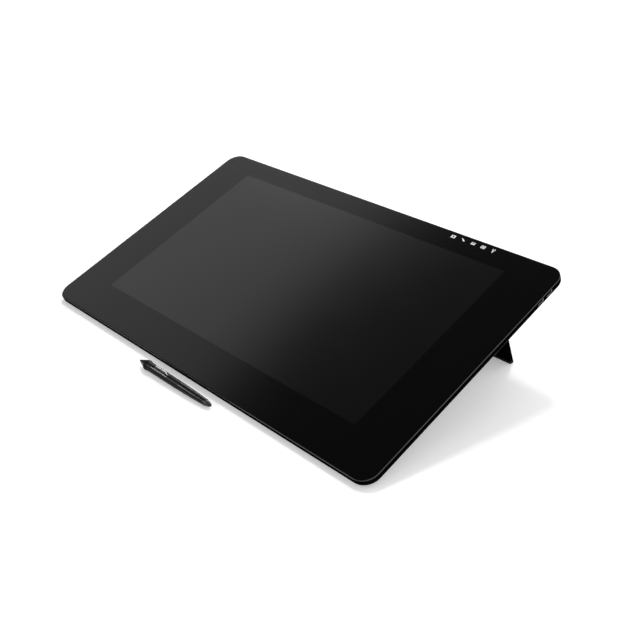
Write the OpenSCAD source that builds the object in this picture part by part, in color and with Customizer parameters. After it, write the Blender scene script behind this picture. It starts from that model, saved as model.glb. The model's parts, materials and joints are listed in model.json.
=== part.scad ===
// Pen display: a graphics tablet with a built-in screen, standing on its two fold-out legs, and its pen.
// Every piece is modelled where it sits. Three frames are used:
//   desk       origin at the middle of the front foot's sole, x to the right, y to the back, z up
//   panel      origin at the middle of the glass's front edge, y along the glass, z out of the glass
//   underside  the sloping underside, y along it to the back, z into the body

/* [Panel] */
// Width of the screen's lit area
view_w = 531; // [480:1:600]
// Depth of the screen's lit area
view_d = 299; // [270:1:340]
// Border from the lit area to the sides
side_border = 73; // [66:0.5:90]
// Border from the lit area to the front edge
front_border = 59; // [52:0.5:70]
// Border from the lit area to the back edge
back_border = 36; // [34:0.5:50]
// Corner radius of the outline
corner_r = 22; // [16:0.5:30]
// Tilt of the glass with the legs folded out
tilt = 20; // [15:0.5:24]
// Angle between the underside and the glass
wedge = 5; // [4:0.25:6]

/* [Screen stack] */
// Cover glass thickness
glass_t = 1.8; // [1.2:0.1:2.4]
// Gap between the glass edge and the frame's rim
glass_gap = 0.2; // [0.1:0.05:0.4]
// Thickness of the tape under the glass
tape_t = 0.2; // [0.1:0.05:0.4]
// Width of the tape
tape_w = 8; // [5:0.5:11]
// How far the screen's glass sheet reaches past the lit area
lcd_margin = 5; // [3:0.5:7]
// Screen sheet thickness
lcd_t = 1.4; // [1:0.1:2]
// Light guide thickness
guide_t = 2.4; // [1.6:0.1:3.4]
// Backlight tray's sheet thickness
tray_t = 0.6; // [0.4:0.1:0.9]
// Depth of the lamp strip along the guide's front edge
led_d = 3; // [2:0.5:5]
// Pen-sensing board thickness
sensor_t = 0.6; // [0.4:0.1:1]
// Shield sheet thickness
shield_t = 0.6; // [0.3:0.1:1]
// Foam pad thickness
foam_t = 0.8; // [0.4:0.1:1.6]

/* [Frame] */
// Width of the rim's top, outside the glass
rim_w = 1.5; // [1.2:0.1:2.5]
// Bright chamfer along the rim's top edge
rim_chamfer = 0.9; // [0.4:0.1:1.1]
// Small chamfer along the rim's bottom edge
rim_foot_chamfer = 0.5; // [0.2:0.1:1]
// Frame's side wall thickness
frame_wall = 3.2; // [2.4:0.1:4.5]
// Thickness of the ledge that carries the glass
ledge_t = 1.6; // [1.2:0.1:2.2]
// Gap between the screen sheet and the ledge's window
window_gap = 3; // [2:0.5:4.5]

/* [Rear cover] */
// Cover wall thickness
cover_wall = 2.4; // [1.8:0.1:3]
// Step back of the cover's edge from the frame's side
cover_step = 0.6; // [0.3:0.1:1.2]
// Width of the flat land where the cover meets the frame
cover_land = 8; // [6:0.5:10]
// Height of the cover's upright lip
cover_lip = 0.8; // [0.4:0.1:1.4]
// Depth of the underside below the glass, at the front edge
under_depth = 12; // [11:0.1:14]
// From the front edge to the flat underside
under_front = 8; // [7:0.5:10]
// From the side of the panel to the flat underside
under_side = 41.5; // [36:0.5:44]
// From the back edge to the flat underside
under_back = 40; // [34:0.5:44]
// Corner radius of the flat underside
under_r = 16; // [12:0.5:22]
// Rounding along the underside's edge
under_fillet = 4; // [2.5:0.1:6]

/* [Chassis and screws] */
// Steel plate thickness
chassis_t = 1.2; // [0.8:0.1:2]
// From the side of the panel to the plate
chassis_side = 36; // [32:0.5:40]
// From the front edge to the plate
chassis_front = 18; // [15:0.5:20]
// From the back edge to the plate
chassis_back = 16; // [14:0.5:18]
// Screw shank radius
screw_r = 1.5; // [1.2:0.05:1.8]
// Screw head radius
screw_head_r = 2.8; // [2.4:0.1:3.2]
// Screw head height
screw_head_h = 1.6; // [1:0.1:2]
// Clearance round a screw shank
screw_gap = 0.15; // [0.1:0.05:0.3]
// Cover screw's grip below the chassis plate
screw_grip = 6; // [3:0.5:10]

/* [Feet] */
// Drop of the front foot's sole below the underside
foot_drop = 3; // [2:0.1:4]
// Width of the sole that meets the desk with the legs out
foot_sole = 4.4; // [3:0.1:5]
// Length of the front foot
foot_len = 540; // [300:5:560]
// Width of the front foot along the underside
foot_w = 9; // [8:0.1:9.5]
// Length of a rear foot
rear_foot_len = 60; // [30:1:66]
// Width of a rear foot
rear_foot_w = 10; // [6:0.5:11]
// From the flat underside's back end to the middle of the rear feet
rear_foot_inset = 18; // [12:0.5:22]

/* [Legs] */
// Leg width
leg_w = 80; // [60:1:90]
// Leg thickness
leg_t = 7; // [6:0.1:8]
// From the flat underside's side edge to the leg
leg_inset = 9; // [7.5:0.5:20]
// From the flat underside's back end to the hinge
hinge_inset = 42; // [36:0.5:50]
// Height of the hinge pin above the underside
hinge_rise = 5; // [4.5:0.1:6]
// Hinge pin radius
pin_r = 1.75; // [1.4:0.05:2.2]
// Running clearance round the hinge pin
pin_gap = 0.05; // [0.03:0.01:0.08]
// Rubber pad's height at the end of the leg
pad_h = 4; // [2:0.5:8]
// Corner radius at the end of the leg
leg_end_r = 5; // [3:0.5:8]
// Length of the narrow neck between the barrel and the blade
leg_neck = 7; // [6.5:0.1:9]
// Hinge ear thickness
ear_t = 2.4; // [1.6:0.1:2.8]
// Friction washer thickness
washer_t = 0.4; // [0.2:0.05:0.5]
// Hinge bracket's base thickness
bracket_t = 1.6; // [1.2:0.1:2.2]
// Gap round the folded leg in its bay
bay_gap = 0.8; // [0.5:0.1:1.2]
// Wall round the bays
bay_wall = 2; // [1.5:0.1:2.4]
// Width of the finger notch in front of a folded leg
notch_w = 28; // [20:1:40]
// Length of the finger notch
notch_len = 14; // [10:0.5:16]

/* [Arm mount] */
// Spacing of the arm's bolts, both ways
arm_pitch = 100; // [75:1:100]
// Radius of the arm's bolt holes
arm_hole_r = 2; // [1.6:0.05:2.5]
// From the port bay to the arm plate, along the underside
arm_gap = 5; // [3:0.5:14]
// Opening in the cover over the arm plate
arm_window = 118; // [116:1:124]
// Rim of the arm plate outside that opening
arm_rim = 7; // [5:0.5:9]
// Arm plate thickness
arm_plate_t = 2; // [1.5:0.1:2.5]

/* [Port bay] */
// Width of the bay
port_w = 156; // [140:1:160]
// From the flat underside's back end to the bay's socket wall
port_inset = 23; // [22:0.5:28]
// Length of the bay
port_len = 66; // [50:1:70]
// Depth of the bay
port_depth = 18; // [16:0.5:20]
// Thickness of the bay's walls
port_wall = 5; // [4.5:0.1:6]
// Width of the ledge that the lid sits on
lid_ledge = 3; // [2:0.1:3.5]
// Lid thickness
lid_t = 2.2; // [1.6:0.1:2.6]
// Gap round the lid
lid_gap = 0.4; // [0.2:0.05:0.6]
// Width of the cable way in the lid
cable_way_w = 70; // [40:1:90]
// Length of the cable way
cable_way_len = 14; // [8:0.5:18]
// Socket board's height above the underside
io_rise = 12; // [11:0.1:13]

/* [Side sockets and button] */
// From the right side to the middle of the touch keys
key_side = 146; // [90:0.5:240]
// From the back edge to the middle of the touch keys
key_back = 9.7; // [9:0.1:11]
// From the back edge to the middle of the rear side socket
usb_back = 40; // [38:0.5:50]
// Spacing of the two side sockets
usb_pitch = 18.7; // [16.5:0.1:24]
// Width of a side socket's mouth
usb_w = 12.5; // [12:0.1:13]
// Height of a side socket's mouth
usb_h = 5.1; // [4.6:0.05:5.2]
// Length of a side socket
usb_len = 14; // [12:0.1:16]
// Socket shell's sheet thickness
shell_t = 0.3; // [0.2:0.05:0.35]
// Frame left under a side socket
usb_sill = 0.35; // [0.2:0.05:0.4]
// From the back edge to the lock slot
lock_back = 94; // [80:1:110]
// Lock slot's length
lock_len = 7; // [6:0.1:8]
// Lock slot's height
lock_h = 3; // [2.5:0.1:3.5]
// From the right side to the middle of the power button
button_side = 76.5; // [50:0.5:120]
// Power button's length
button_len = 14; // [10:0.5:18]
// Power button's height
button_h = 3.2; // [2.4:0.1:3.6]
// Power button's travel
button_travel = 0.6; // [0.3:0.1:0.9]

/* [Electronics] */
// Circuit board thickness
board_t = 1.6; // [1:0.1:2]
// Height of the posts between the chassis and the boards
post_h = 3; // [2:0.25:4]
// Main board's width
main_w = 260; // [220:1:270]
// Main board's depth
main_d = 120; // [90:1:124]
// From the front edge to the main board
main_front = 100; // [96:1:108]
// Fan's side length
fan_side = 70; // [60:1:72]
// Fan's height
fan_h = 12; // [10:0.5:14]
// Fan's place across the panel
fan_x = 150; // [140:1:152]
// From the back edge to the fan's middle
fan_back = 108; // [104:1:114]
// Number of fan blades
fan_blades = 17; // [9:2:25]
// Fan shaft radius
shaft_r = 1.5; // [1:0.05:2]

/* [Pen] */
// Pen's length
pen_len = 157; // [145:1:170]
// Pen's widest radius, at the front of the grip
pen_r = 7.5; // [6.5:0.1:8.5]
// Radius of the grip behind its front flare
pen_neck_r = 6.5; // [6.2:0.1:7]
// Radius where the grip ends
pen_mid_r = 6.2; // [5.9:0.1:6.6]
// Radius at the tail end of the barrel
pen_tail_r = 4.6; // [4:0.1:5.2]
// Length of the front cone, with the nib's tip
pen_cone_len = 17; // [14:0.5:21]
// From the tip to the end of the grip
pen_grip_end = 93; // [80:1:105]
// Length of the eraser button at the tail
pen_eraser_len = 11; // [8:0.5:14]
// Nib radius
nib_r = 1.2; // [0.8:0.05:1.4]
// Nib and eraser travel
nib_travel = 0.5; // [0.2:0.1:0.8]
// From the tip to the front of the rocker switch
rocker_front = 34.5; // [28:0.5:37]
// Rocker switch's length
rocker_len = 32; // [24:0.5:36]
// Rocker switch's width
rocker_w = 5.4; // [4:0.1:5.8]
// How far the rocker stands proud of the grip
rocker_proud = 0.9; // [0.5:0.1:1.4]
// Pen's place across the panel
pen_x = 1; // [-150:1:150]
// From the glass's front edge to the pen
pen_front = 19; // [12:0.5:60]
// Pen's turn on the desk against the front edge
pen_turn = 0.8; // [-5:0.1:5]
// Pen's roll that brings the rocker to the front
pen_roll = 8; // [0:1:80]

/* [Hidden] */
$fn = 64;

// Colours
black_plastic = "#17181a";
dark_metal = "#2a2b2e";
rubber_black = "#1c1c1d";
steel_grey = "#a9adb2";
board_green = "#1f5b3a";
board_black = "#20262b";
copper_tone = "#b87845";

// A cut runs this far past what it cuts
past = 1;
// Shapes of one solid run into each other this far
weld = 0.5;
// Clearance between pieces that only lie side by side
seat_gap = 0.1;

// Outline of the panel
panel_w = view_w + 2 * side_border;
panel_d = view_d + front_border + back_border;

// Frame depth: the layers of the screen, one under the other, or the side sockets where those are deeper
layers_t = glass_t + lcd_t + guide_t + tray_t + sensor_t + shield_t;
socket_stack = glass_t + tape_t + seat_gap + usb_h + 2 * shell_t + usb_sill;
rim_h = max(layers_t + foam_t, socket_stack);
lcd_top = -glass_t;
guide_top = lcd_top - lcd_t;
tray_floor_top = guide_top - guide_t;
sensor_top = tray_floor_top - tray_t;
shield_top = sensor_top - sensor_t;
foam_top = shield_top - shield_t;
ledge_top = -glass_t - tape_t;
chassis_top = -rim_h;
chassis_bottom = chassis_top - chassis_t;
lcd_w = view_w + 2 * lcd_margin;
lcd_d = view_d + 2 * lcd_margin;
view_mid = front_border + view_d / 2;
window_w = lcd_w + 2 * window_gap;
window_d = lcd_d + 2 * window_gap;
tray_wall = 0.8;

// The desk frame: the front foot's sole is at its origin
function underside_point(p) = [
    p[0],
    p[1] * cos(wedge) + p[2] * sin(wedge),
    -under_depth - p[1] * sin(wedge) + p[2] * cos(wedge)
];
function tilted(p) = [p[0], p[1] * cos(tilt) - p[2] * sin(tilt), p[1] * sin(tilt) + p[2] * cos(tilt)];
function desk_point(p) = tilted(p) - sole;
function under_z(y) = -under_depth - y * tan(wedge);
foot_y = under_front + under_fillet + foot_w / 2;
sole = tilted(underside_point([0, foot_y, -foot_drop]));

// Back end of the flat underside, along it
flat_end = panel_d / cos(wedge) - under_back;

module on_desk() {
    translate(-sole)
        rotate([tilt, 0, 0])
            children();
}

module on_underside() {
    on_desk()
        underside_frame()
            children();
}

module underside_frame() {
    translate([0, 0, -under_depth])
        rotate([-wedge, 0, 0])
            children();
}

module both_sides() {
    children();
    mirror([1, 0, 0])
        children();
}

module rounded_rect(w, d, r) {
    square([w - 2 * r, d], center = true);
    square([w, d - 2 * r], center = true);
    for (x = [-1, 1], y = [-1, 1])
        translate([x * (w / 2 - r), y * (d / 2 - r)])
            circle(r);
}

module pill(w, h) {
    square([w - h, h], center = true);
    for (x = [-1, 1])
        translate([x * (w - h) / 2, 0])
            circle(h / 2);
}

// A plate of the panel's outline, drawn in by inset, from its top down
module panel_slab(inset, top, t) {
    translate([0, panel_d / 2, top - t])
        linear_extrude(t)
            rounded_rect(panel_w - 2 * inset, panel_d - 2 * inset, corner_r - inset);
}

// A rectangular layer of the screen, in the middle of the lit area
module screen_layer(w, d, top, t) {
    translate([-w / 2, view_mid - d / 2, top - t])
        cube([w, d, t]);
}

// The glass and what is bonded to it

module cover_glass() {
    color("#0c0d0f")
        on_desk()
            panel_slab(rim_w + glass_gap, 0, glass_t);
}

// Setback of the tape from the glass's edge
tape_setback = 0.5;
tape_inset = rim_w + glass_gap + tape_setback;

module glass_tape() {
    color("#101010")
        on_desk()
            difference() {
                panel_slab(tape_inset, -glass_t, tape_t);
                panel_slab(tape_inset + tape_w, -glass_t + past, tape_t + 2 * past);
                touch_key_place(seat_gap);
            }
}

// Touch-key board under the signs at the back right of the bezel
key_x = panel_w / 2 - key_side;
key_board_w = 88;
key_board_d = 11;
key_board_t = 1;

module touch_key_place(gap) {
    w = key_board_w + 2 * gap;
    d = key_board_d + 2 * gap;
    translate([key_x - w / 2, panel_d - key_back - d / 2, -glass_t - key_board_t])
        cube([w, d, key_board_t]);
}

module touch_key_board() {
    color(board_black)
        on_desk()
            touch_key_place(0);
}

// Bezel frame

// Screws that hold the frame on the chassis plate, with their margin from the plate's edge
screw_margin = 6.5;
end_screw_x = 120;
side_screw_x = panel_w / 2 - chassis_side - screw_margin;
side_screw_rows = [70, 200, panel_d - 64];
end_screw_rows = [chassis_front + screw_margin, panel_d - chassis_back - screw_margin];
frame_screws = concat(
    [for (s = [-1, 1], y = side_screw_rows) [s * side_screw_x, y]],
    [for (s = [-1, 1], y = end_screw_rows) [s * end_screw_x, y]]
);
boss_r = 3.5;
boss_depth = rim_h + ledge_top - ledge_t;
// A screw ends this far before the end of its blind hole
screw_spare = 0.5;
// Closed end of a blind boss
boss_cap = 1;
usb_mid = -rim_h + usb_sill + shell_t + usb_h / 2;
usb_rows = [panel_d - usb_back, panel_d - usb_back - usb_pitch];
usb_recess = 1.6;
// Room behind a side socket for its solder tails
usb_tail = 4;
port_gap = 0.2;
button_x = panel_w / 2 - button_side;
under_ledge_mid = (ledge_top - ledge_t - rim_h) / 2;

// Section through the rim, measured inwards from the outer side
function rim_section() = [
    [corner_r, -rim_h + rim_foot_chamfer],
    [corner_r, -rim_chamfer],
    [corner_r - rim_chamfer, 0],
    [corner_r - rim_w, 0],
    [corner_r - rim_w, ledge_top],
    [corner_r - frame_wall, ledge_top],
    [corner_r - frame_wall, -rim_h],
    [corner_r - rim_foot_chamfer, -rim_h]
];

module rim() {
    mid_x = panel_w / 2 - corner_r;
    far = panel_d - corner_r;
    corners = [[mid_x, far], [-mid_x, far], [-mid_x, corner_r], [mid_x, corner_r]];
    runs = [far - corner_r, 2 * mid_x, far - corner_r, 2 * mid_x];
    for (i = [0:3])
        translate(corners[i])
            rotate(90 * i) {
                rotate_extrude(angle = 90)
                    polygon(rim_section());
                rotate([90, 0, 0])
                    linear_extrude(runs[i])
                        polygon(rim_section());
            }
}

module side_socket_cuts() {
    for (y = usb_rows) {
        translate([panel_w / 2 - frame_wall - past, y - usb_w / 2 - port_gap, usb_mid - usb_h / 2 - port_gap])
            cube([frame_wall + 2 * past, usb_w + 2 * port_gap, usb_h + 2 * port_gap]);
        pocket_w = usb_w + 2 * shell_t + 2 * port_gap;
        pocket_low = usb_mid - usb_h / 2 - shell_t - seat_gap;
        translate([panel_w / 2 - usb_recess - usb_len - usb_tail, y - pocket_w / 2, pocket_low])
            cube([usb_len + usb_tail, pocket_w, ledge_top - pocket_low + past / 2]);
    }
}

module bezel_frame() {
    color(dark_metal)
        on_desk()
            difference() {
                union() {
                    rim();
                    difference() {
                        panel_slab(frame_wall - weld, ledge_top, ledge_t);
                        screen_layer(window_w, window_d, ledge_top + past, ledge_t + 2 * past);
                    }
                    for (p = frame_screws)
                        translate([p[0], p[1], -rim_h])
                            cylinder(r = boss_r, h = rim_h + ledge_top - ledge_t / 2);
                }
                for (p = frame_screws)
                    translate([p[0], p[1], -rim_h - past])
                        cylinder(r = screw_r + screw_gap, h = boss_depth + past);
                both_sides()
                    side_socket_cuts();
                touch_key_place(2 * seat_gap);
                translate([button_x, panel_d + past, under_ledge_mid])
                    rotate([90, 0, 0])
                        linear_extrude(frame_wall + 2 * past)
                            pill(button_len + 2 * port_gap, button_h + 2 * port_gap);
                translate([-panel_w / 2 + frame_wall / 2, panel_d - lock_back, under_ledge_mid])
                    cube([frame_wall + 2 * past, lock_len, lock_h], center = true);
            }
}

// Screen layers

module lcd_panel() {
    color("#1b1d21")
        on_desk()
            screen_layer(lcd_w, lcd_d, lcd_top, lcd_t);
}

guide_w = lcd_w - 2 * (tray_wall + seat_gap);
guide_d = lcd_d - 2 * (tray_wall + seat_gap);

module light_guide() {
    color("#dfe6ea")
        on_desk()
            translate([-guide_w / 2, view_mid - guide_d / 2 + led_d, tray_floor_top])
                cube([guide_w, guide_d - led_d, guide_t]);
}

module led_bar() {
    color("#f2efe0")
        on_desk()
            translate([-guide_w / 2, view_mid - guide_d / 2, tray_floor_top])
                cube([guide_w, led_d - seat_gap, guide_t - seat_gap]);
}

module backlight_tray() {
    color(steel_grey)
        on_desk()
            difference() {
                screen_layer(lcd_w, lcd_d, guide_top, guide_t + tray_t);
                screen_layer(lcd_w - 2 * tray_wall, lcd_d - 2 * tray_wall, guide_top + past, guide_t + past);
            }
}

module digitizer_board() {
    color(board_green)
        on_desk()
            screen_layer(lcd_w, lcd_d, sensor_top, sensor_t);
}

module digitizer_shield() {
    color(steel_grey)
        on_desk()
            screen_layer(lcd_w, lcd_d, shield_top, shield_t);
}

module foam_pad() {
    color("#3a3a3c")
        on_desk()
            screen_layer(lcd_w, lcd_d, foam_top, rim_h - layers_t);
}

// Power button in the back edge, with its switch behind it

button_flange_t = 1;
button_flange_side = 1;
button_flange_lip = 0.4;
button_proud = 0.6;
switch_d = 3.5;
switch_air = 1;
switch_h = boss_depth - switch_air;

module power_button() {
    color(black_plastic)
        on_desk()
            translate([button_x, panel_d + button_proud, under_ledge_mid])
                rotate([90, 0, 0]) {
                    linear_extrude(button_proud + frame_wall + seat_gap + button_flange_t)
                        pill(button_len, button_h);
                    translate([0, 0, button_proud + frame_wall + seat_gap])
                        linear_extrude(button_flange_t)
                            pill(button_len + 2 * button_flange_side, button_h + 2 * button_flange_lip);
                }
}

module power_switch() {
    switch_w = 8;
    color("#c9c9c6")
        on_desk()
            translate([
                button_x - switch_w / 2,
                panel_d - frame_wall - 2 * seat_gap - button_flange_t - button_travel - switch_d,
                ledge_top - ledge_t - switch_h
            ])
                cube([switch_w, switch_d, switch_h]);
}

// Chassis plate with its board posts

// Screws that hold the cover on the chassis plate
cover_screw_in = 22;
cover_screw_x = panel_w / 2 - chassis_side - cover_screw_in;
cover_screw_rows = [[cover_screw_x, 45], [95, 45], [cover_screw_x, 150], [100, panel_d - 50]];
cover_screw_places = [for (s = [-1, 1], p = cover_screw_rows) [s * p[0], p[1]]];
// Posts under the corners of a board
post_in = 6;
function corner_posts(x, front, w, d) = [
    for (i = [-1, 1], j = [0, 1]) [x + i * (w / 2 - post_in), front + post_in + j * (d - 2 * post_in)]
];
main_posts = corner_posts(0, main_front, main_w, main_d);
power_w = 110;
power_d = 70;
power_x = -205;
power_front = 105;
power_posts = corner_posts(power_x, power_front, power_w, power_d);
board_posts = concat(main_posts, power_posts);
board_top = chassis_bottom - post_h;
board_bottom = board_top - board_t;
post_r = 3;
flex_w = 60;
flex_t = 0.3;
flex_out = 1;
flex_y = view_mid - lcd_d / 2 - flex_out;
flex_slot_w = flex_w + 4;
flex_slot_d = 3;
arm_plate_w = arm_window + 2 * arm_rim;
arm_plate_r = 8;
arm_window_step = 2;
port_u = flat_end - port_inset;
arm_mid_u = port_u - port_len - port_wall - arm_gap - arm_plate_w / 2;
arm_post_r = 4;
arm_post_in = 8;
arm_post_out = arm_plate_w / 2 - arm_post_in;
arm_posts = [
    for (x = [-1, 1], y = [-1, 1]) [x * arm_post_out, arm_mid_u * cos(wedge) + y * arm_post_out]
];

// Height of the arm plate's inner face at a place along the panel
function arm_plate_top(y) = under_z(y) + (cover_wall + arm_plate_t) / cos(wedge);

module chassis_plate() {
    color(steel_grey)
        on_desk()
            difference() {
                union() {
                    translate([-panel_w / 2 + chassis_side, chassis_front, chassis_bottom])
                        cube([panel_w - 2 * chassis_side, panel_d - chassis_front - chassis_back, chassis_t]);
                    for (p = board_posts)
                        translate([p[0], p[1], board_top])
                            cylinder(r = post_r, h = post_h + chassis_t / 2);
                    for (p = arm_posts) {
                        low = arm_plate_top(p[1]) + seat_gap + arm_post_r * tan(wedge);
                        translate([p[0], p[1], low])
                            cylinder(r = arm_post_r, h = chassis_bottom - low + chassis_t / 2);
                    }
                }
                for (p = concat(frame_screws, cover_screw_places))
                    translate([p[0], p[1], chassis_bottom - past])
                        cylinder(r = screw_r + screw_gap, h = chassis_t + 2 * past);
                for (p = board_posts)
                    translate([p[0], p[1], board_top - past])
                        cylinder(r = board_screw_r + screw_gap, h = post_h + chassis_t + 2 * past);
                translate([0, flex_y, chassis_bottom + chassis_t / 2])
                    cube([flex_slot_w, flex_slot_d, chassis_t + 2 * past], center = true);
            }
}

// A pan-head screw pointing up, its head's upper face at z = 0
module screw(shank_r, head_r, head_h, len) {
    translate([0, 0, -head_h])
        cylinder(r = head_r, h = head_h);
    translate([0, 0, -head_h / 2])
        cylinder(r = shank_r, h = len + head_h / 2);
}

module chassis_screws() {
    color(steel_grey)
        on_desk()
            for (p = frame_screws)
                translate([p[0], p[1], chassis_bottom])
                    screw(screw_r, screw_head_r, screw_head_h, chassis_t + boss_depth - 2 * screw_spare);
}

// Rear cover: a wedge-shaped tub with bays for the legs, the ports and the arm

// Corner of the flat underside, with its rounded lower edge
module underside_corner(r, fillet) {
    steps = 4;
    slice = 0.05;
    for (i = [0:steps]) {
        a = 90 * i / steps;
        translate([0, 0, fillet * (1 - cos(a))])
            cylinder(r = r - fillet * (1 - sin(a)), h = slice, $fn = 32);
    }
}

// The tub's outer form, or its hollow with the wall taken off
module tub(wall, edge, lip) {
    top_inset = cover_step + edge;
    top_r = corner_r - top_inset;
    half_w = panel_w / 2 - under_side - wall;
    r = under_r - wall;
    least_fillet = 0.5;
    fillet = max(under_fillet - wall, least_fillet);
    hull() {
        for (x = [-1, 1], y = [top_inset + top_r, panel_d - top_inset - top_r])
            translate([x * (panel_w / 2 - top_inset - top_r), y, -rim_h - max(lip, 0)])
                cylinder(r = top_r, h = abs(lip), $fn = 48);
        underside_frame()
            for (x = [-1, 1], y = [under_front + wall + r, flat_end - wall - r])
                translate([x * (half_w - r), y, wall])
                    underside_corner(r, fillet);
    }
}

hinge_u = flat_end - hinge_inset;
leg_x = panel_w / 2 - under_side - leg_inset - leg_w / 2;
hinge_panel = underside_point([0, hinge_u, hinge_rise]);
leg_len = desk_point(hinge_panel)[2] / cos(tilt);
leg_reach = leg_len + leg_t / 2 * tan(tilt);
bay_half = leg_w / 2 + bay_gap;
// Clearances behind the hinge and past the end of the folded leg
hinge_back_gap = 0.3;
leg_end_gap = 1.5;
bay_back = hinge_u + leg_t / 2 / cos(wedge) + hinge_rise * tan(wedge) + hinge_back_gap;
bay_front = hinge_u - leg_reach - leg_end_gap;
barrel_gap = 0.5;
bay_depth = hinge_rise + leg_t / 2 + barrel_gap + bracket_t;
bracket_screw_in = 16;
bracket_screw_fore = 2.5;
bracket_screw_x = leg_w / 2 - bracket_screw_in;
bracket_screw_u = hinge_u - bracket_screw_fore;
bracket_screw_r = 1.2;
bracket_head_r = 2.4;
bracket_screw_len = 5;
bracket_boss_r = 3;
notch_depth = 8;
// Bay walls stand this far into the cover's floor
floor_sink = 0.6;
// Posts of the socket board
io_post_in = 16;
io_post_back = 10;

// A box in the underside frame, standing on the cover's floor or cut from below it
module bay_box(x, half, front, back, low, high) {
    translate([x - half, front, low])
        cube([2 * half, back - front, high - low]);
}

module bay_walls() {
    both_sides() {
        bay_box(leg_x, bay_half + bay_wall, bay_front - bay_wall, bay_back + bay_wall,
            floor_sink, bay_depth + bay_wall);
        bay_box(leg_x, notch_w / 2 + bay_wall, bay_front - notch_len - bay_wall, bay_front,
            floor_sink, notch_depth + bay_wall);
        for (x = [-1, 1])
            translate([leg_x + x * bracket_screw_x, bracket_screw_u, bay_depth])
                cylinder(r = bracket_boss_r, h = bracket_screw_len);
        translate([port_w / 2 - io_post_in, port_u + port_wall + io_post_back, floor_sink])
            cylinder(r = post_r, h = io_rise - floor_sink);
    }
    bay_box(0, port_w / 2 + port_wall, port_u - port_len - port_wall, port_u + port_wall,
        floor_sink, port_depth + bay_wall);
}

module bay_cuts() {
    both_sides() {
        bay_box(leg_x, bay_half, bay_front, bay_back, -past, bay_depth);
        bay_box(leg_x, notch_w / 2, bay_front - notch_len, bay_front + past, -past, notch_depth);
        for (x = [-1, 1])
            translate([leg_x + x * bracket_screw_x, bracket_screw_u, bay_depth - past])
                cylinder(r = bracket_screw_r + screw_gap, h = bracket_screw_len - boss_cap + past);
        intake_slots();
    }
    bay_box(0, port_w / 2, port_u - port_len, port_u, -past, port_depth);
    bay_box(0, port_w / 2 + lid_ledge, port_u - port_len - lid_ledge, port_u + lid_ledge,
        -past, lid_t + seat_gap);
    translate([0, arm_mid_u, -past])
        linear_extrude(cover_wall + 2 * past)
            rounded_rect(arm_window, arm_window, arm_plate_r - arm_window_step);
    for (s = sockets)
        translate([s[0] - s[1] / 2 - port_gap, port_u - past, io_rise - s[2] - port_gap])
            cube([s[1] + 2 * port_gap, port_wall + 2 * past, s[2] + port_gap + seat_gap]);
}

// Air slots: under the fans, and in the back wall behind them
slot_w = 2.4;
slot_pitch = 6;
slot_count = 9;
slot_end = 7;
slot_len = fan_side - 2 * slot_end;
fan_u = (panel_d - fan_back) / cos(wedge);

module intake_slots() {
    for (i = [0:slot_count - 1])
        bay_box(fan_x, slot_len / 2, fan_u + (i - (slot_count - 1) / 2) * slot_pitch - slot_w / 2,
            fan_u + (i - (slot_count - 1) / 2) * slot_pitch + slot_w / 2, -past, cover_wall + past);
}

exhaust_count = 11;
exhaust_h = 14;
exhaust_drop = 8;
exhaust_top = -rim_h - exhaust_drop;

module exhaust_slots() {
    for (i = [0:exhaust_count - 1])
        translate([fan_x + (i - (exhaust_count - 1) / 2) * slot_pitch - slot_w / 2,
                panel_d - under_back, exhaust_top - exhaust_h])
            cube([slot_w, under_back + past, exhaust_h]);
}

// Where a cover screw's head rests: near the chassis, or just inside the cover where it is shallow
function screw_seat(y) = max(under_z(y) + cover_wall, chassis_bottom - screw_grip);

// Bosses start inside the floor, with a wall round the screw's head
boss_sink = 1;
boss_wall = 2;

module cover_bosses() {
    for (p = cover_screw_places)
        translate([p[0], p[1], under_z(p[1]) + boss_sink])
            cylinder(r = screw_head_r + boss_wall, h = chassis_bottom - under_z(p[1]) - boss_sink);
}

module cover_screw_holes() {
    for (p = cover_screw_places)
        translate([p[0], p[1], 0]) {
            translate([0, 0, under_z(p[1]) - past])
                cylinder(r = screw_head_r + 2 * screw_gap, h = screw_seat(p[1]) - under_z(p[1]) + past);
            translate([0, 0, under_z(p[1])])
                cylinder(r = screw_r + screw_gap, h = chassis_bottom - under_z(p[1]) + past);
        }
}

module rear_cover() {
    color(black_plastic)
        on_desk()
            difference() {
                union() {
                    difference() {
                        tub(0, 0, cover_lip);
                        tub(cover_wall, cover_land, -past);
                    }
                    underside_frame()
                        bay_walls();
                    cover_bosses();
                }
                underside_frame()
                    bay_cuts();
                cover_screw_holes();
                both_sides()
                    exhaust_slots();
            }
}

module cover_screws() {
    color(steel_grey)
        on_desk()
            for (p = cover_screw_places)
                translate([p[0], p[1], screw_seat(p[1])])
                    screw(screw_r, screw_head_r, screw_head_h, chassis_top - screw_seat(p[1]));
}

module arm_mount_plate() {
    color(dark_metal)
        on_underside()
            translate([0, arm_mid_u, cover_wall])
                difference() {
                    linear_extrude(arm_plate_t)
                        rounded_rect(arm_plate_w, arm_plate_w, arm_plate_r);
                    for (x = [-1, 1], y = [-1, 1])
                        translate([x * arm_pitch / 2, y * arm_pitch / 2, -past])
                            cylinder(r = arm_hole_r, h = arm_plate_t + 2 * past);
                }
}

// Feet

lean = tilt - wedge;
foot_flat = foot_drop + foot_sole / 2 * tan(lean);
foot_draft = 0.5;
rear_foot_r = 3;

module front_foot() {
    near = foot_y - foot_w / 2;
    far = foot_y + foot_w / 2;
    color(rubber_black)
        on_underside()
            translate([-foot_len / 2, 0, 0])
                rotate([90, 0, 90])
                    linear_extrude(foot_len)
                        polygon([
                            [near, 0],
                            [foot_y - foot_sole / 2, -foot_drop + foot_sole / 2 * tan(lean)],
                            [foot_y + foot_sole / 2, -foot_flat],
                            [far - foot_draft, -foot_flat],
                            [far, 0]
                        ]);
}

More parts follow.
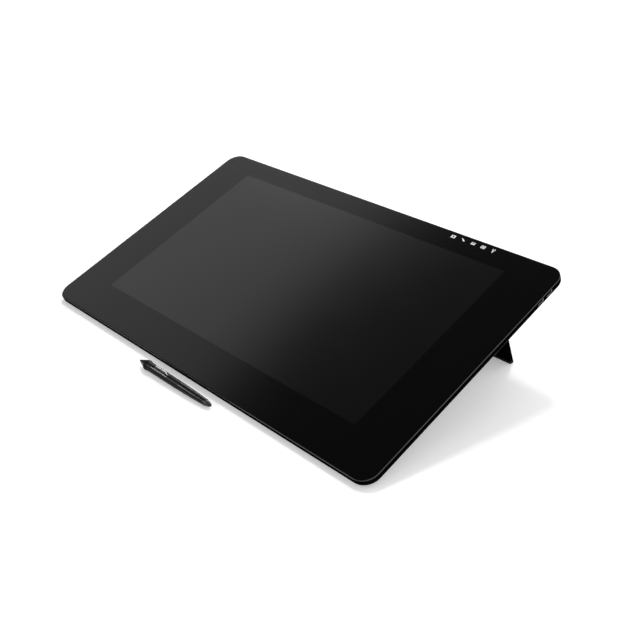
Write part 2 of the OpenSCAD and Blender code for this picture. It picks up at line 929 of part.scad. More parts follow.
module rear_feet() {
    color(rubber_black)
        on_underside()
            both_sides()
                translate([fan_x, flat_end - rear_foot_inset, -foot_flat])
                    linear_extrude(foot_flat)
                        rounded_rect(rear_foot_len, rear_foot_w, rear_foot_r);
}

// Lid of the port bay, with a way out for the cables at its front

module port_cover() {
    lid_w = port_w + 2 * lid_ledge - 2 * lid_gap;
    lid_len = port_len + 2 * lid_ledge - 2 * lid_gap;
    color(black_plastic)
        on_underside()
            difference() {
                translate([-lid_w / 2, port_u + lid_ledge - lid_gap - lid_len, 0])
                    cube([lid_w, lid_len, lid_t]);
                translate([-cable_way_w / 2, port_u - port_len - lid_ledge - past, -past])
                    cube([cable_way_w, lid_ledge + cable_way_len + past, lid_t + 2 * past]);
            }
}

// Boards inside

board_screw_r = 1;
board_head_r = 2;
board_head_h = 1.2;
arm_post_gap = 1;
// Chips: sizes, and places on the main board between the arm's posts
chip_t = 1.8;
chip_side = 24;
chip_out = arm_post_out - arm_post_r - arm_post_gap - chip_side / 2;
chips = [[-chip_out, 60], [0, 30], [chip_out, 75]];
sink_chip_side = 28;
// Capacitors in a row on the power board
cap_r = 8;
cap_h = 3.5;
cap_pitch = 26;
cap_back = 8;
cap_y = power_front + power_d / 2 + cap_back;
// Heat sink over the fourth chip
sink_side = 32;
sink_front = 84;
sink_x = main_w / 2 - sink_side;
sink_y = main_front + sink_front;
sink_w = 50;
sink_d = 46;
sink_base = 1.5;
sink_h = 4.7;
sink_fin_t = 1.2;
sink_fins = 9;

module board(x, front, w, d, posts) {
    difference() {
        translate([x - w / 2, front, board_bottom])
            cube([w, d, board_t]);
        for (p = posts)
            translate([p[0], p[1], board_bottom - past])
                cylinder(r = board_screw_r + screw_gap, h = board_t + 2 * past);
        for (p = arm_posts)
            translate([p[0], p[1], board_bottom - past])
                cylinder(r = arm_post_r + arm_post_gap, h = board_t + 2 * past);
    }
}

module main_board() {
    color(board_green)
        on_desk()
            board(0, main_front, main_w, main_d, main_posts);
}

module power_board() {
    color(board_green)
        on_desk()
            board(power_x, power_front, power_w, power_d, power_posts);
}

module board_parts() {
    color("#26282b")
        on_desk() {
            for (c = chips)
                translate([c[0], main_front + c[1], board_bottom - chip_t / 2])
                    cube([chip_side, chip_side, chip_t], center = true);
            translate([sink_x, sink_y, board_bottom - chip_t / 2])
                cube([sink_chip_side, sink_chip_side, chip_t], center = true);
            for (i = [-1:1])
                translate([power_x + cap_pitch * i, cap_y, board_bottom - cap_h])
                    cylinder(r = cap_r, h = cap_h);
        }
}

module heat_sink() {
    top = board_bottom - chip_t;
    pitch = (sink_w - sink_fin_t) / (sink_fins - 1);
    color("#b9bcc0")
        on_desk() {
            translate([sink_x - sink_w / 2, sink_y - sink_d / 2, top - sink_base])
                cube([sink_w, sink_d, sink_base]);
            for (i = [0:sink_fins - 1])
                translate([sink_x - sink_w / 2 + i * pitch, sink_y - sink_d / 2, top - sink_h])
                    cube([sink_fin_t, sink_d, sink_h - sink_base / 2]);
        }
}

module board_screws() {
    color(steel_grey)
        on_desk()
            for (p = board_posts)
                translate([p[0], p[1], board_bottom])
                    screw(board_screw_r, board_head_r, board_head_h, board_t + post_h);
}

driver_t = 1.2;
driver_w = 360;
driver_d = 18;
driver_gap = 8;
driver_front = flex_y + driver_gap;
// How far the flat cable laps onto the driver board
flex_lap = 5;

module panel_driver_board() {
    color(board_green)
        on_desk()
            translate([-driver_w / 2, driver_front, chassis_bottom - seat_gap - driver_t])
                cube([driver_w, driver_d, driver_t]);
}

// Flat cable from the screen's front edge, through the chassis slot, onto the driver board
module display_flex() {
    low = chassis_bottom - seat_gap - driver_t;
    color(copper_tone)
        on_desk()
            translate([-flex_w / 2, 0, 0])
                rotate([90, 0, 90])
                    linear_extrude(flex_w)
                        polygon([
                            [flex_y, ledge_top],
                            [flex_y, low - flex_t],
                            [driver_front + flex_lap, low - flex_t],
                            [driver_front + flex_lap, low],
                            [flex_y + flex_t, low],
                            [flex_y + flex_t, ledge_top]
                        ]);
}

// Socket board behind the port bay: place across, width and height of each socket
sockets = [[-52, 15, 5.6], [-20, 16.6, 5.4], [12, 9.6, 3.9], [48, 10, 9]];
socket_set = 0.4;
socket_front = port_u + socket_set;
socket_len = 11;
// Back wall of a socket, and the setback of its contact tongue from the mouth and the sides
socket_back = 1.5;
tongue_set = 1.2;
tongue_side = 2.2;
io_gap = 0.5;
io_d = 19;

module io_board() {
    color(board_green)
        on_underside()
            translate([-port_w / 2, port_u + port_wall + io_gap, io_rise])
                cube([port_w, io_d, board_t]);
}

thick_sheet = 0.4;
thin_sheet = 0.32;
thick_tongue = 1.2;
thin_tongue = 0.7;

// A sheet-metal socket with a contact tongue, its mouth facing the front of the bay
module bay_socket(s, sheet, tongue) {
    low = io_rise - s[2];
    difference() {
        translate([s[0] - s[1] / 2, socket_front, low])
            cube([s[1], socket_len, s[2]]);
        translate([s[0] - s[1] / 2 + sheet, socket_front - past, low + sheet])
            cube([s[1] - 2 * sheet, socket_len - socket_back + past, s[2] - 2 * sheet]);
    }
    translate([s[0] - s[1] / 2 + tongue_side, socket_front + tongue_set, low + s[2] / 2 - tongue / 2])
        cube([s[1] - 2 * tongue_side, socket_len - tongue_set - socket_back + weld, tongue]);
}

module hdmi_socket() {
    color(steel_grey)
        on_underside()
            bay_socket(sockets[0], thick_sheet, thick_tongue);
}

module displayport_socket() {
    color(steel_grey)
        on_underside()
            bay_socket(sockets[1], thick_sheet, thick_tongue);
}

module usb_c_socket() {
    color(steel_grey)
        on_underside()
            bay_socket(sockets[2], thin_sheet, thin_tongue);
}

dc_back = 2;
dc_bore_r = 3.2;
dc_pin_r = 0.8;

module dc_socket() {
    s = sockets[3];
    color(black_plastic)
        on_underside()
            translate([s[0], socket_front, io_rise - s[2] / 2])
                rotate([-90, 0, 0]) {
                    difference() {
                        translate([-s[1] / 2, -s[2] / 2, 0])
                            cube([s[1], s[2], socket_len + dc_back]);
                        translate([0, 0, -past])
                            cylinder(r = dc_bore_r, h = socket_len + past);
                    }
                    cylinder(r = dc_pin_r, h = socket_len + dc_back / 2);
                }
}

// Side sockets

usb_board_t = 1.2;
usb_board_gap = 3;
usb_board_lap = 5;
// Contact tongue in a side socket: height, and setback from the mouth, the sides and the roof
usb_tongue_h = 1.8;
usb_tongue_set = 1.5;
usb_tongue_side = 0.7;
usb_tongue_roof = 0.6;

module side_socket(y) {
    outer_w = usb_w + 2 * shell_t;
    outer_h = usb_h + 2 * shell_t;
    front = panel_w / 2 - usb_recess;
    tongue_low = usb_mid + usb_h / 2 - usb_tongue_roof - usb_tongue_h;
    difference() {
        translate([front - usb_len, y - outer_w / 2, usb_mid - outer_h / 2])
            cube([usb_len, outer_w, outer_h]);
        translate([front - usb_len + socket_back, y - usb_w / 2, usb_mid - usb_h / 2])
            cube([usb_len - socket_back + past, usb_w, usb_h]);
    }
    translate([front - usb_len + socket_back - weld, y - usb_w / 2 + usb_tongue_side, tongue_low])
        cube([usb_len - socket_back + weld - usb_tongue_set, usb_w - 2 * usb_tongue_side, usb_tongue_h]);
}

module usb_sockets_right() {
    color(steel_grey)
        on_desk()
            for (y = usb_rows)
                side_socket(y);
}

module usb_sockets_left() {
    color(steel_grey)
        on_desk()
            mirror([1, 0, 0])
                for (y = usb_rows)
                    side_socket(y);
}

module usb_boards() {
    top = usb_mid - usb_h / 2 - shell_t;
    right = panel_w / 2 - usb_recess - usb_len + usb_board_lap;
    left = panel_w / 2 - chassis_side + usb_board_gap;
    color(board_green)
        on_desk()
            both_sides()
                translate([left, usb_rows[1] - usb_w, top - usb_board_t])
                    cube([right - left, usb_pitch + 2 * usb_w, usb_board_t]);
}

// Fans

fan_wall = 1;
fan_rim = 4;
fan_bore = fan_side / 2 - fan_rim;
fan_clear = 0.8;
fan_mouth_in = 8;
// Radius of the air hole, as a share of the bore
intake_share = 0.68;
shaft_low = 2;
blade_t = 0.8;
blade_root = 1;
hub_cap = 0.8;
fan_y = panel_d - fan_back;
hub_r = 12;

module fan_housing() {
    translate([fan_x, fan_y, chassis_bottom - fan_h]) {
        difference() {
            translate([-fan_side / 2, -fan_side / 2, 0])
                cube([fan_side, fan_side, fan_h]);
            translate([0, 0, fan_wall])
                cylinder(r = fan_bore, h = fan_h - 2 * fan_wall);
            translate([-fan_side / 2 + fan_mouth_in, 0, fan_wall])
                cube([fan_side - 2 * fan_mouth_in, fan_side / 2 + past, fan_h - 2 * fan_wall]);
            translate([0, 0, -past])
                cylinder(r = fan_bore * intake_share, h = fan_wall + 2 * past);
        }
        translate([0, 0, fan_wall + shaft_low])
            cylinder(r = shaft_r, h = fan_h - 1.5 * fan_wall - shaft_low);
    }
}

module fan_rotor() {
    low = fan_wall + fan_clear;
    rotor_h = fan_h - 2 * low;
    translate([fan_x, fan_y, chassis_bottom - fan_h + low])
        difference() {
            union() {
                cylinder(r = hub_r, h = rotor_h);
                for (i = [0:fan_blades - 1])
                    rotate(360 / fan_blades * i)
                        translate([hub_r - blade_root, -blade_t / 2, 0])
                            cube([fan_bore - fan_clear - hub_r, blade_t, rotor_h]);
            }
            translate([0, 0, hub_cap])
                cylinder(r = shaft_r + pin_gap, h = rotor_h);
        }
}

module fan_housing_right() {
    color(black_plastic)
        on_desk()
            fan_housing();
}

module fan_housing_left() {
    color(black_plastic)
        on_desk()
            mirror([1, 0, 0])
                fan_housing();
}

module fan_rotor_right() {
    color(dark_metal)
        on_desk()
            fan_rotor();
}

module fan_rotor_left() {
    color(dark_metal)
        on_desk()
            mirror([1, 0, 0])
                fan_rotor();
}

// Legs: in the leg's frame the pin is at the origin and the leg points down, square to the glass

// Setback of the ears from the leg's sides, play of a washer, and steps of the neck, the ears and the washers
ear_setback = 0.6;
washer_play = 0.1;
neck_step = 0.3;
ear_rim = 0.4;
washer_step = 0.2;
bracket_fore = 6.5;
cone_land = 0.4;
ear_in = leg_w / 2 - ear_setback - ear_t;
barrel_half = ear_in - washer_t - washer_play;
neck_t = leg_t - 2 * neck_step;
ear_r = leg_t / 2 + ear_rim;
leg_low = leg_len + leg_t;

module at_hinge() {
    on_desk()
        translate([leg_x, hinge_panel[1], hinge_panel[2]])
            children();
}

module leg_outline() {
    translate([-leg_w / 2, -leg_low + leg_end_r])
        square([leg_w, leg_low - leg_end_r - leg_neck]);
    translate([-leg_w / 2 + leg_end_r, -leg_low])
        square([leg_w - 2 * leg_end_r, leg_low - leg_neck - past]);
    for (x = [-1, 1])
        translate([x * (leg_w / 2 - leg_end_r), -leg_low + leg_end_r])
            circle(leg_end_r);
}

module leg_blade() {
    translate([0, leg_t / 2, 0])
        rotate([90, 0, 0])
            linear_extrude(leg_t)
                leg_outline();
}

// Everything from below the desk up to a height
module desk_layer(low, high) {
    translate([-panel_w, 0, low])
        cube([2 * panel_w, 2 * panel_d, high - low]);
}

module leg() {
    difference() {
        at_hinge()
            difference() {
                union() {
                    leg_blade();
                    translate([-barrel_half, -neck_t / 2, -leg_neck - weld])
                        cube([2 * barrel_half, neck_t, leg_neck + weld]);
                    translate([-barrel_half, 0, 0])
                        rotate([0, 90, 0])
                            cylinder(r = leg_t / 2, h = 2 * barrel_half);
                }
                translate([-barrel_half - past, 0, 0])
                    rotate([0, 90, 0])
                        cylinder(r = pin_r + pin_gap, h = 2 * barrel_half + 2 * past);
            }
        desk_layer(-panel_d, pad_h);
    }
}

module leg_pad() {
    intersection() {
        at_hinge()
            leg_blade();
        desk_layer(0, pad_h);
    }
}

module leg_bracket() {
    on_underside()
        translate([leg_x, hinge_u, 0])
            difference() {
                union() {
                    bay_box(0, ear_in + ear_t, -bracket_fore, ear_r, bay_depth - bracket_t, bay_depth);
                    for (x = [-ear_in - ear_t, ear_in])
                        translate([x, 0, hinge_rise]) {
                            rotate([0, 90, 0])
                                cylinder(r = ear_r, h = ear_t);
                            translate([0, -ear_r + weld, 0])
                                cube([ear_t, 2 * (ear_r - weld), bay_depth - hinge_rise - bracket_t / 2]);
                        }
                }
                translate([-leg_w, 0, hinge_rise])
                    rotate([0, 90, 0])
                        cylinder(r = pin_r + pin_gap / 2, h = 2 * leg_w);
                for (x = [-1, 1])
                    translate([x * bracket_screw_x, bracket_screw_u - hinge_u, bay_depth])
                        countersunk(seat_gap, bracket_t + past);
            }
}

// A flush screw pointing up through the bracket's base, with the base's upper face at z = 0
module countersunk(gap, shank) {
    cone_h = bracket_t - cone_land;
    translate([0, 0, -bracket_t])
        cylinder(r1 = bracket_head_r + gap, r2 = bracket_screw_r + gap, h = cone_h);
    translate([0, 0, -bracket_t + cone_h / 2])
        cylinder(r = bracket_screw_r + gap, h = shank - cone_h / 2);
}

module leg_pin() {
    at_hinge()
        translate([-ear_in - ear_t, 0, 0])
            rotate([0, 90, 0])
                cylinder(r = pin_r, h = 2 * (ear_in + ear_t));
}

module leg_right() {
    color(black_plastic)
        leg();
}

module leg_left() {
    color(black_plastic)
        mirror([1, 0, 0])
            leg();
}

module leg_right_pad() {
    color(rubber_black)
        leg_pad();
}

module leg_left_pad() {
    color(rubber_black)
        mirror([1, 0, 0])
            leg_pad();
}

module leg_right_bracket() {
    color(steel_grey)
        leg_bracket();
}

module leg_left_bracket() {
    color(steel_grey)
        mirror([1, 0, 0])
            leg_bracket();
}

module leg_right_pin() {
    color(steel_grey)
        leg_pin();
}

module leg_left_pin() {
    color(steel_grey)
        mirror([1, 0, 0])
            leg_pin();
}

module hinge_washers() {
    color(copper_tone)
        both_sides()
            at_hinge()
                for (x = [-barrel_half - washer_play / 2 - washer_t, barrel_half + washer_play / 2])
                    translate([x, 0, 0])
                        rotate([0, 90, 0])
                            difference() {
                                cylinder(r = leg_t / 2 - washer_step, h = washer_t);
                                translate([0, 0, -past])
                                    cylinder(r = pin_r + pin_gap, h = washer_t + 2 * past);
                            }
}

module hinge_screws() {
    color(steel_grey)
        on_underside()
            both_sides()
                for (x = [-1, 1])
                    translate([leg_x + x * bracket_screw_x, bracket_screw_u, bay_depth])
                        countersunk(0, bracket_t + bracket_screw_len - boss_cap - screw_spare);
}

// Pen: in the pen's frame its axis is x, the tip is at the origin and the rocker faces z

pen_body_end = pen_len - pen_eraser_len;
// The grip is widest at its shoulder, a little behind the cone
shoulder_len = 2.5;
pen_shoulder = pen_cone_len + shoulder_len;
// Behind the shoulder the flare falls to the grip's neck
flare_len = 8.5;
pen_neck = pen_shoulder + flare_len;
// The barrel tapers slowly at first and faster towards the tail
barrel_steps = 6;
barrel_curve = 1.4;
barrel = [
    for (i = [0:barrel_steps])
        let (t = i / barrel_steps)
            [
                pen_mid_r - (pen_mid_r - pen_tail_r) * pow(t, barrel_curve),
                pen_grip_end + seat_gap + (pen_body_end - pen_grip_end - seat_gap) * t
            ]
];
// The pen lies on its shoulder and on the barrel
pen_lean = atan(min([for (p = barrel) (pen_r - p[0]) / (p[1] - pen_shoulder)]));
pen_tip_h = pen_shoulder * sin(pen_lean) + pen_r * cos(pen_lean);
grip_edge = 0.5;
cone_step = 0.7;
cone_lip = 0.8;
nib_out = 4;
pen_tube_r = 5.1;
pen_bore_r = 3.1;
nib_bore_r = nib_r + pin_gap;
nib_len = 28;
rocker_gap = 0.3;
rocker_floor = 1.8;
rocker_under = 0.3;
// The rocker's hub round its pin, and the groove between its two keys
hub_len = 4;
hub_drop = 1;
groove_w = 0.8;
groove_low = 0.2;
// The rocker's ends slope down into its slot
rocker_slope = 4;
rocker_dip = 0.8;
rocker_pin_r = 0.6;
rocker_pin_z = 3;
rocker_mid = rocker_front + rocker_len / 2;
rocker_end = rocker_front + rocker_len;

module at_pen() {
    translate([pen_x, -sole[1] - pen_front, 0])
        rotate([0, 0, pen_turn])
            translate([-pen_len / 2, 0, pen_tip_h])
                rotate([0, pen_lean, 0])
                    rotate([pen_roll, 0, 0])
                        children();
}

// A turned piece: points are [radius, distance from the tip]
module turned(points) {
    rotate([0, 90, 0])
        rotate_extrude()
            polygon(points);
}

module rocker_slot() {
    translate([rocker_front, -rocker_w / 2 - rocker_gap, rocker_floor])
        cube([rocker_len, rocker_w + 2 * rocker_gap, pen_r]);
}

module rocker_pin_bore(gap) {
    translate([rocker_mid, 0, rocker_pin_z])
        rotate([90, 0, 0])
            cylinder(r = rocker_pin_r + gap, h = 2 * pen_r, center = true, $fn = 32);
}

module pen_cone() {
    color(black_plastic)
        at_pen()
            turned([
                [nib_bore_r, nib_out],
                [nib_bore_r + cone_lip, nib_out],
                [pen_r - cone_step, pen_cone_len],
                [nib_bore_r, pen_cone_len]
            ]);
}

module pen_nib() {
    color("#2b2b2c")
        at_pen()
            turned([
                [0, 0],
                [nib_r * 0.55, 0.25],
                [nib_r * 0.85, 0.9],
                [nib_r, 2],
                [nib_r, nib_len],
                [0, nib_len]
            ]);
}

function grip_radius(s, proud) =
    pen_neck_r - (pen_neck_r - pen_mid_r) * (s - pen_neck) / (pen_grip_end - pen_neck) + proud;

module pen_grip() {
    color(rubber_black)
        at_pen()
            difference() {
                turned([
                    [pen_tube_r + seat_gap, pen_cone_len + seat_gap],
                    [pen_r - grip_edge, pen_cone_len + seat_gap],
                    [pen_r, pen_shoulder],
                    [pen_neck_r + (pen_r - pen_neck_r) * 0.3, pen_shoulder + flare_len * 0.45],
                    [pen_neck_r, pen_neck],
                    [pen_mid_r, pen_grip_end],
                    [pen_tube_r + seat_gap, pen_grip_end]
                ]);
                rocker_slot();
            }
}

module pen_body() {
    color(black_plastic)
        at_pen()
            difference() {
                turned(concat(
                    [
                        [pen_bore_r, pen_cone_len + seat_gap],
                        [pen_tube_r, pen_cone_len + seat_gap],
                        [pen_tube_r, pen_grip_end + seat_gap]
                    ],
                    barrel,
                    [[pen_bore_r, pen_body_end]]
                ));
                rocker_slot();
                rocker_pin_bore(pin_gap / 2);
            }
}

module pen_rocker() {
    color("#2f3033")
        at_pen()
            difference() {
                intersection() {
                    union() {
                        translate([rocker_front + rocker_gap, -rocker_w / 2, rocker_pin_z - rocker_under])
                            cube([rocker_len - 2 * rocker_gap, rocker_w, pen_r]);
                        translate([rocker_mid - hub_len / 2, -rocker_w / 2, rocker_pin_z - hub_drop])
                            cube([hub_len, rocker_w, pen_r]);
                    }
                    turned([
                        [0, rocker_front],
                        [grip_radius(rocker_front, -rocker_dip), rocker_front],
                        [grip_radius(rocker_front + rocker_slope, rocker_proud), rocker_front + rocker_slope],
                        [grip_radius(rocker_end - rocker_slope, rocker_proud), rocker_end - rocker_slope],
                        [grip_radius(rocker_end, -rocker_dip), rocker_end],
                        [0, rocker_end]
                    ]);
                }
                rocker_pin_bore(pin_gap);
                translate([rocker_mid - groove_w / 2, -rocker_w, grip_radius(rocker_mid, groove_low)])
                    cube([groove_w, 2 * rocker_w, pen_r]);
            }
}

module pen_rocker_pin() {
    pin_len = 2 * sqrt(pow(pen_tube_r, 2) - pow(rocker_pin_z + rocker_pin_r, 2)) - 2 * seat_gap;
    color(steel_grey)
        at_pen()
            translate([rocker_mid, 0, rocker_pin_z])
                rotate([90, 0, 0])
                    cylinder(r = rocker_pin_r, h = pin_len, center = true, $fn = 32);
}

core_front = nib_len + nib_travel + seat_gap;
core_thin_r = 1.5;
core_step = 2;
eraser_stem_len = 10;
eraser_step = 0.3;

module pen_core() {
    stem_end = pen_body_end - eraser_stem_len - nib_travel - seat_gap;
    color(copper_tone)
        at_pen()
            turned([
                [0, core_front],
                [core_thin_r, core_front],
                [core_thin_r, rocker_end + core_step],
                [pen_bore_r - seat_gap, rocker_end + core_step],
                [pen_bore_r - seat_gap, stem_end],
                [0, stem_end]
            ]);
}

module pen_eraser() {
    start = pen_body_end + nib_travel + seat_gap;
    top = pen_tail_r - eraser_step;
    color("#2b2b2c")
        at_pen()
            turned([
                [0, start - eraser_stem_len - nib_travel],
                [pen_bore_r - seat_gap, start - eraser_stem_len - nib_travel],
                [pen_bore_r - seat_gap, start],
                [top, start],
                [top * 0.92, start + (pen_len - start) * 0.3],
                [top * 0.66, start + (pen_len - start) * 0.7],
                [top * 0.4, start + (pen_len - start) * 0.94],
                [0, pen_len]
            ]);
}

cover_glass();
glass_tape();
bezel_frame();
lcd_panel();
light_guide();
led_bar();
backlight_tray();
digitizer_board();
digitizer_shield();
foam_pad();
touch_key_board();
power_button();
power_switch();
chassis_plate();
chassis_screws();
rear_cover();
cover_screws();
arm_mount_plate();
front_foot();
rear_feet();
port_cover();
main_board();
board_parts();
heat_sink();
panel_driver_board();
display_flex();
power_board();
board_screws();
io_board();
hdmi_socket();
displayport_socket();
usb_c_socket();
dc_socket();
usb_boards();
usb_sockets_right();
usb_sockets_left();
fan_housing_left();
fan_rotor_left();
fan_housing_right();
fan_rotor_right();
leg_left();
leg_left_pad();
leg_left_bracket();
leg_left_pin();
leg_right();
leg_right_pad();
leg_right_bracket();
leg_right_pin();
hinge_washers();
hinge_screws();
pen_cone();
pen_nib();
pen_grip();
pen_body();
pen_rocker();
pen_rocker_pin();
pen_core();
pen_eraser();
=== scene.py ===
# %% [markdown]
# # A pen display and its pen
# A graphics tablet with a built-in screen leans on two fold-out legs, and its pen lies before it.
# The solids come from a CAD model that Blender must not move. This lesson dresses them: each solid
# gets the finish of its real material, small pieces that a CAD model leaves out are added, and the
# camera, the floor and the light are set. Everything is in metres, in the CAD model's own frame.

# %% Load the frame
import json
import math

import bmesh
import bpy
from mathutils import Matrix, Vector


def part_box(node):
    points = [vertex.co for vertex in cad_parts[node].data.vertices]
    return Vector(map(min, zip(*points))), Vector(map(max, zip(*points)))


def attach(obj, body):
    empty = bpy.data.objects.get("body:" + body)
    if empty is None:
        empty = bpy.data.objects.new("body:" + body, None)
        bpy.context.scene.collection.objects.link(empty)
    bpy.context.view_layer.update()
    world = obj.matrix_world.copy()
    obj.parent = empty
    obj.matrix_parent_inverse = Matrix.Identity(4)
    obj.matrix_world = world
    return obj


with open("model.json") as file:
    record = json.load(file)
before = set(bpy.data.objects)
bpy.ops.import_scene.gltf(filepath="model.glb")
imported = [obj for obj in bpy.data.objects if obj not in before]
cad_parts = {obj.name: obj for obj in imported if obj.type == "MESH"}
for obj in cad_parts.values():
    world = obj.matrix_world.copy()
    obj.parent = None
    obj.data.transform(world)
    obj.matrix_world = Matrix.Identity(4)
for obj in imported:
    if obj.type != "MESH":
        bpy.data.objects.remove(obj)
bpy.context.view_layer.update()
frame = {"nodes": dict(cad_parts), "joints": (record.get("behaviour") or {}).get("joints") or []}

MM = 0.001
nodes = frame["nodes"]

# %% [markdown]
# ## The camera
# A product photograph can be rebuilt from its straight edges: the outline of the glass, whose real
# size is known, fixes the lens, the place and the turn of the camera. The picture was cropped off
# its middle, so the lens is shifted a little instead of turning the camera, which keeps the
# vanishing points where they are.

# %% Camera
IMAGE_PX = 630
FOCAL_PX = 942.2
MIDDLE_PX = (347.5, 303.2)
eye = Vector((919.7, -608.1, 681.5)) * MM
forward = Vector((-0.6336, 0.6146, -0.4699)).normalized()
right = Vector((0.7025, 0.7115, -0.0166))
right = (right - forward * right.dot(forward)).normalized()
turn = Matrix((right, right.cross(forward), -forward)).transposed()

lens = bpy.data.cameras.new("product_camera")
lens.lens = FOCAL_PX * lens.sensor_width / IMAGE_PX
lens.shift_x = 0.5 - MIDDLE_PX[0] / IMAGE_PX
lens.shift_y = MIDDLE_PX[1] / IMAGE_PX - 0.5
lens.clip_start = 0.01
camera = bpy.data.objects.new("product_camera", lens)
camera.matrix_world = Matrix.Translation(eye) @ turn.to_4x4()
bpy.context.scene.collection.objects.link(camera)
bpy.context.scene.camera = camera
print("lens", round(lens.lens, 2), "mm, shift", round(lens.shift_x, 4), round(lens.shift_y, 4))

# %% [markdown]
# ## Small tools for finishes
# Designers write colours as sRGB hex values, while shaders work in linear light, so one function
# turns the first into the second. Node trees are long to write by hand, so one more function adds a
# node, sets it and links it, and a third starts a material with its surface shader. Every finish
# below is made with these.

# %% Colour and node tools
def linear(colour):
    """An sRGB hex value as the linear colour that a shader takes."""
    parts = [int(colour[i:i + 2], 16) / 255 for i in (1, 3, 5)]
    return [c / 12.92 if c <= 0.04045 else ((c + 0.055) / 1.055) ** 2.4 for c in parts] + [1.0]


def add(tree, kind, inputs=None, **settings):
    """Adds a node of a kind, with its settings, and fills or links its inputs."""
    node = tree.nodes.new("ShaderNode" + kind)
    for name, value in settings.items():
        setattr(node, name, value)
    for socket, value in (inputs or {}).items():
        if isinstance(value, bpy.types.NodeSocket):
            tree.links.new(value, node.inputs[socket])
        else:
            node.inputs[socket].default_value = value
    return node


def new_finish(name):
    """An empty material with one surface shader, ready for its pattern."""
    material = bpy.data.materials.new(name)
    material.use_nodes = True
    tree = material.node_tree
    tree.nodes.clear()
    shader = add(tree, "BsdfPrincipled")
    add(tree, "OutputMaterial", {"Surface": shader.outputs["BSDF"]})
    return material, tree, shader


print("white is", linear("#ffffff"), "mid grey is", [round(c, 3) for c in linear("#808080")])

# %% [markdown]
# ## The panel's own frame
# The glass leans back, so places on it are easier to give along the glass: x to the right, y up the
# slope and z out of it. The matrix below carries such a place into the scene. It is found from the
# glass itself, whose upper front edge is the frontmost line of that solid.

# %% Panel frame
TILT = math.radians(20)
GLASS_T = 1.8 * MM
GLASS_INSET = 1.7 * MM
VIEW_W, VIEW_D, FRONT_BORDER = 531 * MM, 299 * MM, 59 * MM

low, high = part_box("cover_glass")
slope = Vector((0, math.cos(TILT), math.sin(TILT)))
panel_origin = Vector((0, low.y, low.z + GLASS_T * math.cos(TILT))) - slope * GLASS_INSET
panel = Matrix.Translation(panel_origin) @ Matrix.Rotation(TILT, 4, "X")
print("front edge of the panel at", [round(c * 1000, 2) for c in panel_origin], "mm")

# %% [markdown]
# ## Room, floor and light
# The studio has a white wall all round, a dim ceiling and a dim strip along the floor. The matt
# glass mirrors the wall on its left half and the ceiling on its right half, and the edge between
# the two falls as a soft slanting step, which tells how high the wall reaches and that the
# ceiling's middle is nearly overhead. The bright line on the right of the frame mirrors the same
# wall. To the camera the room is plain white.

# %% Room
CEILING_MIDDLE = (-0.036, -0.045, 0.998)
WALL_TOP = math.radians(48.2)
WALL_FOOT = math.radians(18)
WALL_BLUR = math.radians(2.0)
WALL_LEVEL = 0.68
DIM_LEVEL = 0.047
world = bpy.data.worlds.new("white_room")
bpy.context.scene.world = world
world.use_nodes = True
tree = world.node_tree
tree.nodes.clear()
outward = add(tree, "TexCoord").outputs["Generated"]
to_ceiling = add(tree, "VectorMath", {0: outward, 1: CEILING_MIDDLE}, operation="DOT_PRODUCT")
below_top = add(tree, "MapRange", {
    "Value": to_ceiling.outputs["Value"], "From Min": math.sin(WALL_TOP - WALL_BLUR),
    "From Max": math.sin(WALL_TOP + WALL_BLUR), "To Min": 1.0, "To Max": 0.0},
    interpolation_type="SMOOTHSTEP")
above_foot = add(tree, "MapRange", {
    "Value": add(tree, "SeparateXYZ", {"Vector": outward}).outputs["Z"],
    "From Min": math.sin(WALL_FOOT - WALL_BLUR), "From Max": math.sin(WALL_FOOT + WALL_BLUR)},
    interpolation_type="SMOOTHSTEP")
wall = add(tree, "Math", {0: below_top.outputs["Result"], 1: above_foot.outputs["Result"]},
           operation="MULTIPLY")
level = add(tree, "MapRange", {"Value": wall.outputs[0], "To Min": DIM_LEVEL, "To Max": WALL_LEVEL})
lit_room = add(tree, "Background", {"Color": linear("#ffffff"), "Strength": level.outputs["Result"]})
white_room = add(tree, "Background", {"Color": linear("#ffffff"), "Strength": 1.0})
seen = add(tree, "MixShader", {
    0: add(tree, "LightPath").outputs["Is Camera Ray"], 1: lit_room.outputs["Background"],
    2: white_room.outputs["Background"]})
add(tree, "OutputWorld", {"Surface": seen.outputs["Shader"]})
print("wall from", round(math.degrees(WALL_FOOT)), "to", round(math.degrees(WALL_TOP)), "degrees up")

# %% [markdown]
# The shadow tells where the lights are. It falls to the front right with a soft edge, so the main
# light stands high at the back left. It is pale, so most of the light comes from a broad cloth
# overhead. The strip of floor before the front edge is darker, so a soft light stands behind as
# well. All three are kept out of mirror images, for the glass in the photograph shows none of them.
# Three soft boxes do show in mirrors: one overhead puts a glint on the pen's switch, and one behind
# and one on the left draw the pair of light lines along its round barrel. They stand where the
# leaning glass does not mirror them, and they light mirrors only, so the shadow stays as it is.

# %% Lamps
LIT_SPOT = Vector((0.0, -0.04, 0.0))
SUN_AWAY, BOX_AWAY = 3.0, 6.0


def lamp(name, kind, toward, distance, energy):
    """A lamp in a direction from the front edge and the pen, shining at them."""
    data = bpy.data.lights.new(name, kind)
    data.energy = energy
    thing = bpy.data.objects.new(name, data)
    away = Vector(toward).normalized()
    thing.location = LIT_SPOT + away * distance
    thing.rotation_euler = away.to_track_quat("Z", "Y").to_euler()
    bpy.context.scene.collection.objects.link(thing)
    print(name, "at", [round(c, 2) for c in thing.location], "m")
    return thing


